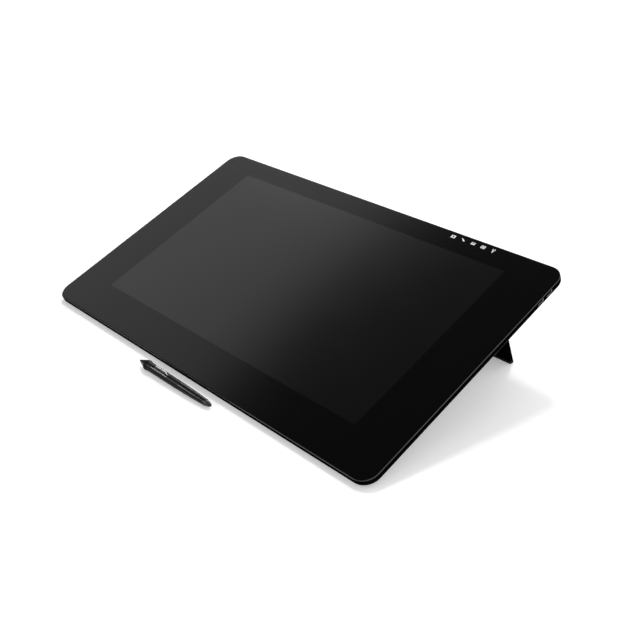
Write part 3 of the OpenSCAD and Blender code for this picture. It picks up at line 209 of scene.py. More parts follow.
for name, toward, angle, energy in (("main_light", (-0.338, 0.411, 0.846), 9, 1.0),
                                    ("rear_light", (0.0, 0.75, 0.66), 60, 0.76),
                                    ("cloth_light", (-0.1, 0.1, 0.99), 158, 0.97)):
    sun = lamp(name, "SUN", toward, SUN_AWAY, energy)
    sun.data.angle = math.radians(angle)
    sun.visible_glossy = False
for name, toward, width, height, energy in (("top_box", (-0.055, 0.241, 0.968), 0.6, 1.8, 60.0),
                                            ("back_box", (-0.571, 0.645, 0.508), 4.2, 1.4, 170.0),
                                            ("left_box", (-0.723, -0.527, 0.447), 2.1, 1.7, 230.0)):
    box = lamp(name, "AREA", toward, BOX_AWAY, energy)
    box.data.shape = "RECTANGLE"
    box.data.size, box.data.size_y = width, height
    box.visible_diffuse = False

# %% [markdown]
# The floor is pale paper. In a photograph like this the paper is lit until it is pure white, and
# only the shadow keeps some grey. A little glow that only the camera and mirrors see lifts the
# paper to white, while the light that falls on the object stays plain.

# %% Floor
FLOOR_HALF = 12.0
PAPER_GLOW = 0.33
FIBRE = 4 * MM
paper, tree, shader = new_finish("studio_paper")
fibres = add(tree, "TexNoise", {
    "Vector": add(tree, "TexCoord").outputs["Object"], "Scale": 1 / FIBRE, "Detail": 2.0})
shade = add(tree, "MapRange", {"Value": fibres.outputs["Fac"], "To Min": 0.9, "To Max": 0.95})
tree.links.new(shade.outputs["Result"], shader.inputs["Roughness"])
shader.inputs["Base Color"].default_value = linear("#ebebeb")
shader.inputs["Specular IOR Level"].default_value = 0.1
glow = add(tree, "Emission", {"Color": linear("#ffffff"), "Strength": PAPER_GLOW})
rays = add(tree, "LightPath")
mirrored = add(tree, "Math", {0: rays.outputs["Is Glossy Ray"], 1: rays.outputs["Is Transmission Ray"]},
               operation="MAXIMUM")
viewed = add(tree, "Math", {0: rays.outputs["Is Camera Ray"], 1: mirrored.outputs[0]}, operation="MAXIMUM")
dark = add(tree, "Emission", {"Strength": 0.0})
seen_glow = add(tree, "MixShader", {
    0: viewed.outputs[0], 1: dark.outputs["Emission"], 2: glow.outputs["Emission"]})
both = add(tree, "AddShader", {0: shader.outputs["BSDF"], 1: seen_glow.outputs["Shader"]})
output = next(n for n in tree.nodes if n.type == "OUTPUT_MATERIAL")
tree.links.new(both.outputs["Shader"], output.inputs["Surface"])

sheet = bmesh.new()
bmesh.ops.create_grid(sheet, x_segments=8, y_segments=8, size=FLOOR_HALF)
floor_mesh = bpy.data.meshes.new("floor")
sheet.to_mesh(floor_mesh)
sheet.free()
floor = bpy.data.objects.new("floor", floor_mesh)
floor_mesh.materials.append(paper)
bpy.context.scene.collection.objects.link(floor)
print("floor", FLOOR_HALF * 2, "m wide")

# %% [markdown]
# ## Etched cover glass
# The front is one sheet of alkali glass. Its face is etched to a fine matt tooth for the pen, and
# its border is printed black from behind, so only the screen's window looks a little lighter. The
# print and the screen lie right behind the glass, so they are painted as the glass's own colour,
# with a mask along the panel, instead of tracing light through the sheet. The screen's own face
# mirrors a little too, so the window gets a slightly stronger and softer mirror than the print. The
# etching is far finer than a pixel: it shows as blurred mirror images, which roughness gives, and a
# bump drawn much coarser than the real tooth breaks up the mirror edge a little.

# %% Glass
def panel_place(tree):
    """Where a point is along the panel: a vector socket in metres."""
    place = add(tree, "TexCoord")
    return add(tree, "Mapping", {
        "Vector": place.outputs["Object"], "Location": panel_origin, "Rotation": (TILT, 0, 0)},
        vector_type="TEXTURE").outputs["Vector"]


def rectangle_mask(tree, place, middle, half, blur):
    """1 inside a rectangle on the panel and 0 outside, with a soft edge."""
    offset = add(tree, "VectorMath", {0: place, 1: (middle[0], middle[1], 0)}, operation="SUBTRACT")
    away = add(tree, "VectorMath", {0: offset.outputs[0]}, operation="ABSOLUTE")
    past = add(tree, "VectorMath", {0: away.outputs[0], 1: (half[0], half[1], 0)}, operation="SUBTRACT")
    sides = add(tree, "SeparateXYZ", {"Vector": past.outputs[0]})
    most = add(tree, "Math", {0: sides.outputs["X"], 1: sides.outputs["Y"]}, operation="MAXIMUM")
    return add(tree, "MapRange", {
        "Value": most.outputs[0], "From Min": -blur, "From Max": blur, "To Min": 1.0, "To Max": 0.0},
        interpolation_type="SMOOTHSTEP").outputs["Result"]


PRINT_EDGE = 0.3 * MM
TOOTH, TOOTH_DEPTH = 0.35 * MM, 0.002 * MM
WIPE, WIPE_ROUGH = 90 * MM, 0.03
glass, tree, shader = new_finish("etched_alkali_glass")
place = panel_place(tree)
window_middle = (0, FRONT_BORDER + VIEW_D / 2)
window = rectangle_mask(tree, place, window_middle, (VIEW_W / 2, VIEW_D / 2), PRINT_EDGE)
behind = add(tree, "Mix", {0: window, 6: linear("#040405"), 7: linear("#070708")}, data_type="RGBA")
tooth = add(tree, "TexNoise", {"Vector": place, "Scale": 1 / TOOTH, "Detail": 2.0})
wipe = add(tree, "TexNoise", {"Vector": place, "Scale": 1 / WIPE, "Detail": 3.0})
blur = add(tree, "MapRange", {"Value": window, "To Min": 0.11, "To Max": 0.13})
rough = add(tree, "Math", {0: wipe.outputs["Fac"], 1: WIPE_ROUGH, 2: blur.outputs["Result"]},
            operation="MULTIPLY_ADD")
relief = add(tree, "Bump", {"Height": tooth.outputs["Fac"], "Distance": TOOTH_DEPTH, "Strength": 0.5})
mirror = add(tree, "MapRange", {"Value": window, "To Min": 0.36, "To Max": 0.6})
for socket, source in (("Base Color", behind.outputs[2]), ("Roughness", rough.outputs[0]),
                       ("Specular IOR Level", mirror.outputs["Result"]),
                       ("Normal", relief.outputs["Normal"])):
    tree.links.new(source, shader.inputs[socket])
shader.inputs["IOR"].default_value = 1.51
nodes["cover_glass"].data.materials.clear()
nodes["cover_glass"].data.materials.append(glass)
print("glass window", round(VIEW_W / MM), "x", round(VIEW_D / MM), "mm")

# %% [markdown]
# ## Anodised frame with a cut chamfer
# The frame round the glass is aluminium, blasted fine, anodised black, and then cut once along its
# upper edge, which leaves a thin bright line. Both are one solid, so the place on the panel tells
# them apart: the cut lies between the frame's top and a height a little below it. Dyed oxide stays
# dark even when seen along its face, so the edge tint of the metal is dark too.

# %% Frame
CHAMFER, CUT_BLUR, TOP_FLAT = 0.9 * MM, 0.02 * MM, 0.04 * MM
BLAST, BLAST_DEPTH = 0.25 * MM, 0.01 * MM
frame_metal, tree, shader = new_finish("black_anodised_aluminium")
place = panel_place(tree)
height = add(tree, "SeparateXYZ", {"Vector": place}).outputs["Z"]
over = add(tree, "MapRange", {
    "Value": height, "From Min": -CHAMFER - CUT_BLUR, "From Max": -CHAMFER + CUT_BLUR})
under = add(tree, "MapRange", {
    "Value": height, "From Min": -TOP_FLAT - CUT_BLUR, "From Max": -TOP_FLAT + CUT_BLUR,
    "To Min": 1.0, "To Max": 0.0})
cut = add(tree, "Math", {0: over.outputs["Result"], 1: under.outputs["Result"]}, operation="MULTIPLY")
blast = add(tree, "TexNoise", {"Vector": place, "Scale": 1 / BLAST, "Detail": 2.0})
dye = add(tree, "Mix", {0: blast.outputs["Fac"], 6: linear("#0c0c0d"), 7: linear("#141415")},
          data_type="RGBA")
metal = add(tree, "Mix", {0: cut.outputs[0], 6: dye.outputs[2], 7: linear("#5d5e61")}, data_type="RGBA")
rough = add(tree, "MapRange", {"Value": cut.outputs[0], "To Min": 0.48, "To Max": 0.3})
relief = add(tree, "Bump", {"Height": blast.outputs["Fac"], "Distance": BLAST_DEPTH, "Strength": 0.4})
for socket, source in (("Base Color", metal.outputs[2]), ("Roughness", rough.outputs["Result"]),
                       ("Normal", relief.outputs["Normal"])):
    tree.links.new(source, shader.inputs[socket])
shader.inputs["Metallic"].default_value = 1.0
shader.inputs["Specular Tint"].default_value = linear("#3a3a3b")
nodes["bezel_frame"].data.materials.clear()
nodes["bezel_frame"].data.materials.append(frame_metal)
print("chamfer", round(CHAMFER / MM, 2), "mm wide")

# %% [markdown]
# ## Grained finishes
# Most other pieces have a plain colour broken by a grain: spark-eroded moulds leave a fine pebble
# on plastic, powder coat flows into a soft peel, rolled and plated steel keeps faint streaks, and
# rubber is dull with a slight bloom. One recipe serves them all. A fine noise gives the grain, a
# broad noise gives the uneven bloom, and the numbers come from each material.

# %% Grain recipe
BLOOM_MM = 40


def grained(name, colours, grain_mm, bump_mm, rough, metallic=0.0, ior=None, stretch=(1, 1, 1),
            edge="#ffffff", mirror=0.5):
    """A material with a grain of a real size: two colours, a depth and a span of roughness.

    edge tints a metal that is seen along its face, and mirror is how strongly a plastic shines.
    """
    material, tree, shader = new_finish(name)
    place = add(tree, "TexCoord").outputs["Object"]
    along = add(tree, "Mapping", {"Vector": place, "Scale": stretch})
    grain = add(tree, "TexNoise", {
        "Vector": along.outputs["Vector"], "Scale": 1 / (grain_mm * MM), "Detail": 3.0})
    bloom = add(tree, "TexNoise", {"Vector": place, "Scale": 1 / (BLOOM_MM * MM), "Detail": 2.0})
    mixed = add(tree, "Math", {0: grain.outputs["Fac"], 1: bloom.outputs["Fac"]}, operation="ADD")
    share = add(tree, "MapRange", {"Value": mixed.outputs[0], "From Min": 0.6, "From Max": 1.4})
    tint = add(tree, "Mix", {0: share.outputs["Result"], 6: linear(colours[0]), 7: linear(colours[1])},
               data_type="RGBA")
    matt = add(tree, "MapRange", {"Value": share.outputs["Result"], "To Min": rough[0], "To Max": rough[1]})
    relief = add(tree, "Bump", {"Height": grain.outputs["Fac"], "Distance": bump_mm * MM, "Strength": 0.6})
    for socket, source in (("Base Color", tint.outputs[2]), ("Roughness", matt.outputs["Result"]),
                           ("Normal", relief.outputs["Normal"])):
        tree.links.new(source, shader.inputs[socket])
    shader.inputs["Metallic"].default_value = metallic
    shader.inputs["Specular Tint"].default_value = linear(edge)
    shader.inputs["Specular IOR Level"].default_value = mirror
    if ior:
        shader.inputs["IOR"].default_value = ior
    return material


def dress(material, *names):
    """Gives a finish to CAD solids by name."""
    for name in names:
        nodes[name].data.materials.clear()
        nodes[name].data.materials.append(material)
    print(material.name, "on", ", ".join(names))


print("the broad bloom is", BLOOM_MM, "mm wide")

# %% [markdown]
# The rear cover, the lid and the button are moulded from a blend of polycarbonate and ABS in a
# spark-eroded mould, which gives a black pebble grain of about a third of a millimetre.

# %% Mouldings
cover_plastic = grained("black_pc_abs", ("#131314", "#1b1b1d"), 0.35, 0.03, (0.46, 0.6), ior=1.57)
dress(cover_plastic, "rear_cover", "port_cover")
button_plastic = grained("black_abs_button", ("#121213", "#1a1a1c"), 0.2, 0.01, (0.35, 0.45), ior=1.54)
dress(button_plastic, "power_button")
fan_plastic = grained("black_pbt", ("#111112", "#1a1a1b"), 0.3, 0.02, (0.4, 0.55), ior=1.55)
dress(fan_plastic, "fan_housing_left", "fan_housing_right", "fan_rotor_left", "fan_rotor_right")

# %% [markdown]
# The legs are die-cast, blasted and anodised like the frame, a little coarser. The arm plate is
# steel under a powder coat, which melts into a skin with a soft peel of one to two millimetres.

# %% Legs and arm plate
leg_metal = grained("black_anodised_casting", ("#0c0c0d", "#161617"), 0.6, 0.015, (0.45, 0.55),
                    metallic=1.0, edge="#3a3a3b")
dress(leg_metal, "leg_left", "leg_right")
coat = grained("black_powder_coat", ("#0e0e0f", "#151516"), 1.4, 0.03, (0.45, 0.55), ior=1.5)
dress(coat, "arm_mount_plate")

# %% [markdown]
# Feet, pads and the pen's grip are rubber: dull, a touch lighter where it blooms, with a fine
# tooth from the mould.

# %% Rubber
foot_rubber = grained("black_tpe_rubber", ("#08080a", "#101011"), 0.5, 0.03, (0.7, 0.85), ior=1.52,
                      mirror=0.25)
dress(foot_rubber, "front_foot", "rear_feet", "leg_left_pad", "leg_right_pad")
grip_rubber = grained("soft_touch_silicone", ("#0d0d0e", "#151516"), 0.25, 0.008, (0.36, 0.42), ior=1.43,
                      mirror=0.08)
dress(grip_rubber, "pen_grip")

# %% [markdown]
# Sheet parts, brackets, pins and screws are steel with a thin zinc plate, drawn out in one
# direction by the rolls, so the grain is stretched along the width. Socket shells are drawn sheet
# with nickel, the heat sink is extruded, and the hinge washers are bronze.

# %% Plated steel
ROLLED = (0.08, 1, 1)
zinc = grained("zinc_plated_steel", ("#9a9da1", "#b9bcc0"), 0.4, 0.004, (0.3, 0.42), metallic=1.0,
               stretch=ROLLED)
dress(zinc, "backlight_tray", "digitizer_shield", "chassis_screws", "cover_screws", "board_screws",
      "leg_left_bracket", "leg_right_bracket", "leg_left_pin", "leg_right_pin", "hinge_screws",
      "pen_rocker_pin")
sheet_metal = grained("rolled_aluminium", ("#a9abae", "#c6c8cb"), 0.5, 0.004, (0.32, 0.42), metallic=1.0,
                      stretch=ROLLED)
dress(sheet_metal, "chassis_plate")
nickel = grained("nickel_plated_shell", ("#b4b0a9", "#d0ccc4"), 0.3, 0.003, (0.2, 0.3), metallic=1.0,
                 stretch=ROLLED)
dress(nickel, "hdmi_socket", "displayport_socket", "usb_c_socket", "usb_sockets_right", "usb_sockets_left")
fins = grained("extruded_aluminium", ("#a7a9ac", "#c3c5c8"), 0.5, 0.005, (0.35, 0.45), metallic=1.0,
               stretch=(1, 0.06, 1))
dress(fins, "heat_sink")
bronze = grained("tin_bronze", ("#a8743f", "#c08c52"), 0.3, 0.003, (0.3, 0.4), metallic=1.0)
dress(bronze, "hinge_washers")

# %% [markdown]
# Circuit boards are glass fibre under a solder mask. Tracks under the mask show as straight lines,
# which a brick pattern draws well enough: long thin cells, each with a paler edge.

# %% Boards
def solder_mask(name, ground, track, pitch_mm):
    """A circuit board's lacquer with copper tracks under it."""
    material, tree, shader = new_finish(name)
    place = panel_place(tree)
    tracks = add(tree, "TexBrick", {
        "Vector": place, "Color1": linear(ground), "Color2": linear(ground), "Mortar": linear(track),
        "Scale": 1 / (pitch_mm * MM), "Mortar Size": 0.035, "Brick Width": 2.3, "Row Height": 0.35})
    wave = add(tree, "TexNoise", {"Vector": place, "Scale": 1 / (3 * MM), "Detail": 2.0})
    matt = add(tree, "MapRange", {"Value": wave.outputs["Fac"], "To Min": 0.25, "To Max": 0.4})
    relief = add(tree, "Bump", {"Height": tracks.outputs["Fac"], "Distance": 0.03 * MM, "Strength": 0.5})
    for socket, source in (("Base Color", tracks.outputs["Color"]), ("Roughness", matt.outputs["Result"]),
                           ("Normal", relief.outputs["Normal"])):
        tree.links.new(source, shader.inputs[socket])
    shader.inputs["IOR"].default_value = 1.55
    return material


dress(solder_mask("green_solder_mask", "#12472b", "#2f7a4c", 6), "digitizer_board", "main_board",
      "panel_driver_board", "power_board", "io_board", "usb_boards")
dress(solder_mask("black_solder_mask", "#15181b", "#2b3136", 5), "touch_key_board")

# %% [markdown]
# Chips are moulded epoxy, the power socket is nylon, the flat cable is amber polyimide film, and
# the pads and the tape are black foam.

# %% Small inner pieces
dress(grained("moulded_epoxy", ("#161718", "#202123"), 0.15, 0.006, (0.5, 0.62), ior=1.55),
      "board_parts", "power_switch", "dc_socket")
dress(grained("polyimide_film", ("#8a4a12", "#b56a22"), 1.0, 0.002, (0.2, 0.3), ior=1.7,
              stretch=(0.1, 1, 1)), "display_flex")
dress(grained("closed_cell_foam", ("#1a1a1b", "#2b2b2c"), 0.6, 0.08, (0.85, 0.95), ior=1.4), "foam_pad")
dress(grained("acrylic_foam_tape", ("#0d0d0d", "#161616"), 0.4, 0.03, (0.75, 0.85), ior=1.47), "glass_tape")

# %% [markdown]
# The screen behind the glass is a stack: a cell of thin glass, a clear acrylic light guide with a
# printed grid of dots, and a strip of white lamps along its front edge.

# %% Screen stack
def spotted(name, ground, spot, pitch_mm, spot_share, rough, ior):
    """A sheet with a regular grid of round spots."""
    material, tree, shader = new_finish(name)
    cells = add(tree, "TexVoronoi", {
        "Vector": panel_place(tree), "Scale": 1 / (pitch_mm * MM), "Randomness": 0.0})
    spots = add(tree, "MapRange", {
        "Value": cells.outputs["Distance"], "From Min": spot_share, "From Max": spot_share + 0.05,
        "To Min": 1.0, "To Max": 0.0})
    tint = add(tree, "Mix", {0: spots.outputs["Result"], 6: linear(ground), 7: linear(spot)},
               data_type="RGBA")
    matt = add(tree, "MapRange", {"Value": spots.outputs["Result"], "To Min": rough, "To Max": 0.6})
    relief = add(tree, "Bump", {"Height": spots.outputs["Result"], "Distance": 0.02 * MM, "Strength": 0.5})
    for socket, source in (("Base Color", tint.outputs[2]), ("Roughness", matt.outputs["Result"]),
                           ("Normal", relief.outputs["Normal"])):
        tree.links.new(source, shader.inputs[socket])
    shader.inputs["IOR"].default_value = ior
    return material


dress(spotted("acrylic_light_guide", "#d6e0e4", "#f4f7f8", 2.5, 0.25, 0.1, 1.49), "light_guide")
dress(spotted("white_lamp_strip", "#e8e4d6", "#f3d56a", 8, 0.2, 0.35, 1.5), "led_bar")
dress(spotted("screen_cell_glass", "#16171a", "#1d1f23", 1.0, 0.3, 0.15, 1.51), "lcd_panel")

# %% [markdown]
# ## The pen
# The pen's cone and barrel are hard ABS with a satin face, its switch is a little glossier, and the
# nib and the tail button are acetal, a waxy plastic that wears well. Inside sits the copper coil.
# The pen lies low over white paper, and a full plastic mirror would turn its sides grey. The real
# pen stays black between thin lines of light, so the mirror of its cone, barrel and grip is weak.

# %% Pen finishes
dress(grained("satin_black_abs", ("#0d0d0e", "#151516"), 0.2, 0.004, (0.2, 0.26), ior=1.54, mirror=0.08),
      "pen_cone", "pen_body")
dress(grained("gloss_black_abs", ("#1c1c1e", "#242426"), 0.2, 0.003, (0.12, 0.16), ior=1.54), "pen_rocker")
dress(grained("black_acetal", ("#18181a", "#222224"), 0.2, 0.006, (0.35, 0.45), ior=1.48),
      "pen_nib", "pen_eraser")
dress(grained("enamelled_copper", ("#9a4f22", "#c9743a"), 0.3, 0.05, (0.25, 0.35), metallic=1.0,
              stretch=(1, 0.05, 1)), "pen_core")

# %% [markdown]
# ## Pieces from outlines
# The small pieces that follow are cut from outlines, as a laser or a punch would cut them: closed
# loops in a plane, given a thickness and laid in their place. One function builds such a piece,
# tells the frame which body carries it and which material slot it belongs to. The others draw an
# outline, raise it to a solid, turn a profile round an axis as a lathe does, and fold a mouth.

# %% Piece tools
def piece(name, mesh_maker, place, material, body):
    """Builds a piece with bmesh, places it, and lets it ride on a body of the model."""
    work = bmesh.new()
    mesh_maker(work)
    bmesh.ops.remove_doubles(work, verts=work.verts, dist=0.0001 * MM)
    bmesh.ops.recalc_face_normals(work, faces=work.faces)
    mesh = bpy.data.meshes.new(name)
    work.to_mesh(mesh)
    work.free()
    mesh.materials.append(material)
    thing = bpy.data.objects.new(name, mesh)
    thing.matrix_world = place
    bpy.context.scene.collection.objects.link(thing)
    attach(thing, body)
    return thing


def prism(work, loop, low, high):
    """A solid over a closed outline in millimetres, between two heights."""
    bottom = [work.verts.new((a * MM, b * MM, low * MM)) for a, b in loop]
    top = [work.verts.new((a * MM, b * MM, high * MM)) for a, b in loop]
    work.faces.new(top)
    work.faces.new(list(reversed(bottom)))
    for i in range(len(loop)):
        j = (i + 1) % len(loop)
        work.faces.new((bottom[i], bottom[j], top[j], top[i]))


def turned(work, profile, steps=64):
    """A solid turned round z from a closed profile of (radius, height) in millimetres."""
    rings = []
    for k in range(steps):
        c, s = math.cos(2 * math.pi * k / steps), math.sin(2 * math.pi * k / steps)
        rings.append([work.verts.new((r * c * MM, r * s * MM, h * MM)) for r, h in profile])
    for k in range(steps):
        here, there = rings[k], rings[(k + 1) % steps]
        for i in range(len(profile)):
            j = (i + 1) % len(profile)
            work.faces.new((here[i], there[i], there[j], here[j]))


def bar(x, y, w, h, turn=0.0):
    """A rectangle round a middle, turned by degrees."""
    c, s = math.cos(math.radians(turn)), math.sin(math.radians(turn))
    loop = [(-w / 2, -h / 2), (w / 2, -h / 2), (w / 2, h / 2), (-w / 2, h / 2)]
    return [(x + c * a - s * b, y + s * a + c * b) for a, b in loop]


def rounded(w, h, r, steps=6):
    """A rectangle with round corners."""
    loop = []
    for k, (sx, sy) in enumerate(((1, 1), (-1, 1), (-1, -1), (1, -1))):
        for i in range(steps + 1):
            a = math.radians(90 * k + 90 * i / steps)
            loop.append((sx * (w / 2 - r) + r * math.cos(a), sy * (h / 2 - r) + r * math.sin(a)))
    return loop


def funnel(work, w, h, walls, low, high):
    """A rectangular mouth along z whose wall thins from its low end to its high end."""
    loops = [(bar(0, 0, w, h), low), (bar(0, 0, w, h), high)]
    loops += [(bar(0, 0, w - 2 * t, h - 2 * t), z) for t, z in ((walls[1], high), (walls[0], low))]
    rings = [[work.verts.new((a * MM, b * MM, z * MM)) for a, b in loop] for loop, z in loops]
    for k in range(4):
        here, there = rings[k], rings[(k + 1) % 4]
        for i in range(4):
            j = (i + 1) % 4
            work.faces.new((here[i], here[j], there[j], there[i]))


print("a rounded outline has", len(rounded(2, 1, 0.2)), "points")

# %% [markdown]
# ## Touch-key signs
# Five white signs are printed behind the glass over the touch keys. A print has no depth, yet a
# sign that is only paint would be lost when the model is exported, so each one is a very thin
# plate lying on the glass. The signs are plain ones: a screen, a pen, a keyboard, a window and a
# spanner.

# %% Signs
SIGN_T = 0.02
SIGN_Y = 384.3
sign_ink = grained("white_ceramic_ink", ("#e2e2e2", "#f2f2f2"), 0.3, 0.004, (0.5, 0.6), ior=1.5)


def outline(w, h, t):
    """The four bars of a rectangle's outline."""
    return [bar(0, h / 2 - t / 2, w, t), bar(0, -h / 2 + t / 2, w, t),
            bar(-w / 2 + t / 2, 0, t, h - 2 * t), bar(w / 2 - t / 2, 0, t, h - 2 * t)]


def ring_part(x, y, r, t, start, end, steps=12):
    """Part of a flat ring, from one angle to another in degrees."""
    angles = [math.radians(start + (end - start) * i / steps) for i in range(steps + 1)]
    outer = [(x + r * math.cos(a), y + r * math.sin(a)) for a in angles]
    inner = [(x + (r - t) * math.cos(a), y + (r - t) * math.sin(a)) for a in reversed(angles)]
    return outer + inner


signs = {
    "screen_sign": (157.5, outline(7.0, 5.4, 1.3) + [bar(-1.6, 0, 1.0, 2.8), bar(1.6, 0, 1.0, 2.8)]),
    "pen_sign": (175.3, [bar(0.3, -0.2, 5.8, 1.9, -36), [(-2.9, 1.0), (-1.8, 2.5), (-3.9, 2.9)]]),
    "keyboard_sign": (192.7, [bar(0, -1.3, 6.9, 2.0)] + [bar(x, y, 1.3, 1.1) for y in (0.5, 1.9)
                                                         for x in (-2.8, -0.95, 0.95, 2.8)]),
    "window_sign": (210.0, outline(7.0, 5.3, 1.1) + [bar(0, 0.2, 3.4, 1.9)]),
    "spanner_sign": (227.1, [bar(0, -1.9, 1.7, 3.8), ring_part(0, 1.9, 2.4, 1.3, 125, 415, 18)]),
}
for name, (x, loops) in signs.items():
    def make_sign(work):
        for loop in loops:
            prism(work, loop, 0, SIGN_T)
    spot = panel @ Matrix.Translation((x * MM, SIGN_Y * MM, 0))
    piece(name, make_sign, spot, sign_ink, "tablet")
print("signs:", ", ".join(signs))

# %% [markdown]
# ## Sockets
# A socket is a folded shell of sheet metal with a plastic tongue inside, and the tongue carries gold
# plated springs. The CAD shells hold plain metal tongues, so each gets a moulded sleeve with its row
# of contacts. The two sockets on each side of the frame also get a polished funnel at the mouth of
# the shell, which leads the plug in. Its slope mirrors the wall: that is the pair of bright dashes on
# the right side.

# %% Sockets
RIM_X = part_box("bezel_frame")[1].x / MM
USB_MID, USB_ROWS = -5.0, (354.0, 335.3)
MOUTH_W, MOUTH_H, MOUTH_WALLS = 12.86, 5.46, (0.5, 0.05)
MOUTH_BACK, MOUTH_FRONT = RIM_X - 1.59, RIM_X - 1.29
USB_TONGUE_W, USB_TONGUE_H, USB_TONGUE_LIFT = 11.2, 1.92, 1.05
USB_TONGUE_BACK, USB_TONGUE_FRONT = RIM_X - 13, RIM_X - 3.0
USB_PITCH, USB_CONTACTS = 2.3, 4
CORNER_SHARE, SPRING_SHARE, SPRING_T = 0.2, 0.55, 0.12
SPRING_BACK, SPRING_FRONT, SPRING_SINK = 2, 0.5, 0.05
tongue_plastic = grained("black_lcp_polymer", ("#141415", "#1c1c1d"), 0.2, 0.006, (0.4, 0.5), ior=1.55)
gold = grained("gold_plated_spring", ("#c9a14a", "#dbb968"), 0.2, 0.002, (0.2, 0.28), metallic=1.0)


def facing(x_axis, y_axis, z_axis, origin):
    """A placing matrix from three directions and an origin in millimetres."""
    turn = Matrix((x_axis, y_axis, z_axis)).transposed().to_4x4()
    return Matrix.Translation(Vector(origin) * MM) @ turn


def socket_inside(label, place, w, h, low, high, pitch, count):
    """A tongue's sleeve with chamfered corners, and the contacts along its lower face."""
    c = min(w, h) * CORNER_SHARE
    loop = [(-w / 2 + c, -h / 2), (w / 2 - c, -h / 2), (w / 2, -h / 2 + c), (w / 2, h / 2 - c),
            (w / 2 - c, h / 2), (-w / 2 + c, h / 2), (-w / 2, h / 2 - c), (-w / 2, -h / 2 + c)]
    piece(label + "_tongue", lambda work: prism(work, loop, low, high), place, tongue_plastic,
          "tablet")

    def springs(work):
        for k in range(count):
            spring = bar((k - (count - 1) / 2) * pitch, -h / 2 - SPRING_SINK,
                         pitch * SPRING_SHARE, SPRING_T)
            prism(work, spring, low + SPRING_BACK, high - SPRING_FRONT)
    piece(label + "_contacts", springs, place, gold, "tablet")


for side, sign in (("right", 1), ("left", -1)):
    for k, y in enumerate(USB_ROWS):
        place = panel @ facing((0, sign, 0), (0, 0, 1), (sign, 0, 0), (0, y, USB_MID))
        label = f"usb_{side}_{k + 1}"
        piece(label + "_mouth",
              lambda work: funnel(work, MOUTH_W, MOUTH_H, MOUTH_WALLS, MOUTH_BACK, MOUTH_FRONT),
              place, nickel, "tablet")
        inside = place @ Matrix.Translation((0, USB_TONGUE_LIFT * MM, 0))
        socket_inside(label, inside, USB_TONGUE_W, USB_TONGUE_H, USB_TONGUE_BACK, USB_TONGUE_FRONT,
                      USB_PITCH, USB_CONTACTS)
print("side sockets made, their mouths", round(RIM_X - MOUTH_FRONT, 2), "mm inside the rim")

# %% [markdown]
# The sockets of the port bay stand on the underside, which is steeper than the glass by the angle of
# the rear cover's wedge. Their shells are wider than their tongues by the walls and the gap for the
# plug, and each sleeve is a little thicker than the tongue it covers.

# %% Port bay sockets
WEDGE, RIM_DEPTH = math.radians(5), 12 * MM
SOCKET_U, SOCKET_RISE = 332.9, 12.0
PLUG_ROOM, SLEEVE = 4.4, 0.1
SLEEVE_BACK, SLEEVE_FRONT = 1.15, 9.4
underside = panel @ Matrix.Translation((0, 0, -RIM_DEPTH)) @ Matrix.Rotation(-WEDGE, 4, "X")
for label, x, w, h, tongue, pitch, count in (("hdmi", -52, 15, 5.6, 1.2, 1.0, 9),
                                             ("displayport", -20, 16.6, 5.4, 1.2, 1.0, 10),
                                             ("usb_c", 12, 9.6, 3.9, 0.7, 0.5, 8)):
    place = underside @ facing((-1, 0, 0), (0, 0, 1), (0, 1, 0), (x, SOCKET_U, SOCKET_RISE - h / 2))
    socket_inside(label, place, w - PLUG_ROOM + SLEEVE, tongue + SLEEVE, SLEEVE_BACK, SLEEVE_FRONT,
                  pitch, count)
    print(label, "contacts:", count)

# %% [markdown]
# ## Small pieces on the back
# The lid over the sockets has five moulded ridges for a thumb, the underside carries a blank rating
# plate of brushed polyester film, and a tiny lens beside the power button lets its light out.

# %% Back pieces
plate_film = grained("silver_polyester_film", ("#8d9093", "#a3a6a9"), 0.3, 0.003, (0.35, 0.45),
                     metallic=1.0, stretch=(0.05, 1, 1))
lens_acrylic = grained("frosted_acrylic", ("#d8dcde", "#eef0f1"), 0.2, 0.004, (0.3, 0.4), ior=1.49)
RIDGES, RIDGE_START, RIDGE_STEP = 5, 317, 3.2
RIDGE_W, RIDGE_H, RIDGE_R = 30, 1.5, 0.7
RIDGE_HEIGHTS, PLATE_HEIGHTS = (-0.4, 0.05), (-0.12, 0.02)
PLATE_W, PLATE_H, PLATE_R, PLATE_Y = 84, 36, 2.5, 78
LENS_SPOT = (276, 394, -5.9)


def make_ridges(work):
    """Five low bars across the lid, with round ends."""
    for k in range(RIDGES):
        loop = [(px, py + RIDGE_START + RIDGE_STEP * k) for px, py in rounded(RIDGE_W, RIDGE_H, RIDGE_R)]
        prism(work, loop, *RIDGE_HEIGHTS)


piece("lid_ridges", make_ridges, underside, cover_plastic, "port_lid")
piece("rating_plate", lambda work: prism(work, rounded(PLATE_W, PLATE_H, PLATE_R), *PLATE_HEIGHTS),
      underside @ Matrix.Translation((0, PLATE_Y * MM, 0)), plate_film, "tablet")
dome = [(0.0001, -0.3), (0.9, -0.3), (0.9, 0.05), (0.75, 0.25), (0.4, 0.38), (0.0001, 0.42)]
lens_place = panel @ facing((-1, 0, 0), (0, 0, 1), (0, 1, 0), LENS_SPOT)
piece("power_light_lens", lambda work: turned(work, dome, 24), lens_place, lens_acrylic,
      "tablet")
print("ridges:", RIDGES, "plate", PLATE_W, "x", PLATE_H, "mm, lens at x", LENS_SPOT[0], "mm")

# %% [markdown]
# ## Trim on the pen
# A thin smoked-chrome trim runs round the switch, and narrow rings of the same finish close the grip
# at the front and the barrel at the tail. The pen's own frame is found from its joints: the nib
# slides along the pen and the switch rocks on a pin across it, a known way behind the tip. The trim
# follows the round grip: each point of its outline is lifted to the grip's radius at that place.

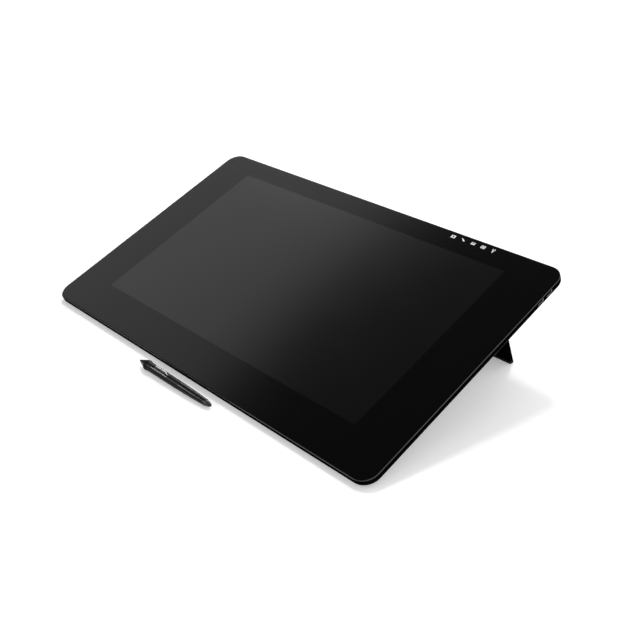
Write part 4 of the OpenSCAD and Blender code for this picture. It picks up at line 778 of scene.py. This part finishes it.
# %% Pen trim
PIVOT_S, PIVOT_RISE = 50.5, 3.0
joints = {joint["name"]: joint for joint in frame["joints"]}
along = Vector(joints["pen_nib_press"]["axis"])
across = Vector(joints["pen_rocker_tilt"]["axis"])
upward = along.cross(across)
pivot = Vector(joints["pen_rocker_tilt"]["pos_m"]) / MM
pen_tip = pivot - along * PIVOT_S - upward * PIVOT_RISE
pen_frame = facing(along, across, upward, pen_tip)
smoked = grained("smoked_chrome", ("#2c2d2e", "#38393b"), 0.3, 0.002, (0.16, 0.24), metallic=1.0)
GRIP_START, GRIP_LENGTH, GRIP_R, GRIP_TAPER = 28, 65, 6.5, 0.3
TRIM_OUTER, TRIM_INNER = (33.8, 67.2, 3.65), (34.4, 66.6, 3.1)
TRIM_SUNK, TRIM_PROUD = -0.2, 0.12
SIDE_STEPS = 8
FRONT_RING = [(6.5, 16.95), (6.95, 16.95), (6.98, 17.2), (6.5, 17.2)]
TAIL_RING = [(4.4, 144.6), (4.78, 144.6), (4.7, 146.0), (4.4, 146.0)]


def grip_radius(s):
    """The grip's radius at a distance from the tip, both in millimetres."""
    return GRIP_R - GRIP_TAPER * (s - GRIP_START) / GRIP_LENGTH


def make_trim(work):
    """A closed band round the switch's slot, lying on the round grip."""
    def ring(front, back, half, lift):
        corners = [(front, -half), (back, -half), (back, half), (front, half)]
        path = []
        for k in range(4):
            (s0, y0), (s1, y1) = corners[k], corners[(k + 1) % 4]
            path += [(s0 + (s1 - s0) * i / SIDE_STEPS, y0 + (y1 - y0) * i / SIDE_STEPS)
                     for i in range(SIDE_STEPS)]
        return [work.verts.new((s * MM, y * MM, (math.sqrt(grip_radius(s) ** 2 - y * y) + lift) * MM))
                for s, y in path]
    rings = [ring(*TRIM_OUTER, TRIM_SUNK), ring(*TRIM_OUTER, TRIM_PROUD),
             ring(*TRIM_INNER, TRIM_PROUD), ring(*TRIM_INNER, TRIM_SUNK)]
    points = 4 * SIDE_STEPS
    for k in range(4):
        here, there = rings[k], rings[(k + 1) % 4]
        for i in range(points):
            j = (i + 1) % points
            work.faces.new((here[i], here[j], there[j], there[i]))


piece("switch_trim", make_trim, pen_frame, smoked, "pen")
along_pen = pen_frame @ Matrix.Rotation(math.radians(90), 4, "Y")
piece("front_ring", lambda work: turned(work, FRONT_RING), along_pen, smoked, "pen")
piece("tail_ring", lambda work: turned(work, TAIL_RING), along_pen, smoked, "pen")
pen_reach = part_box("pen_eraser")[1].x / MM - pen_tip.x
print("trim and rings made, the pen reaches", round(pen_reach, 1), "mm along x")

# %% [markdown]
# ## Finish
# The looks must not grow the object. The picture uses the plain Standard view, so a colour shows as it is
# written.

# %% Finish
bpy.context.scene.view_settings.view_transform = "Standard"
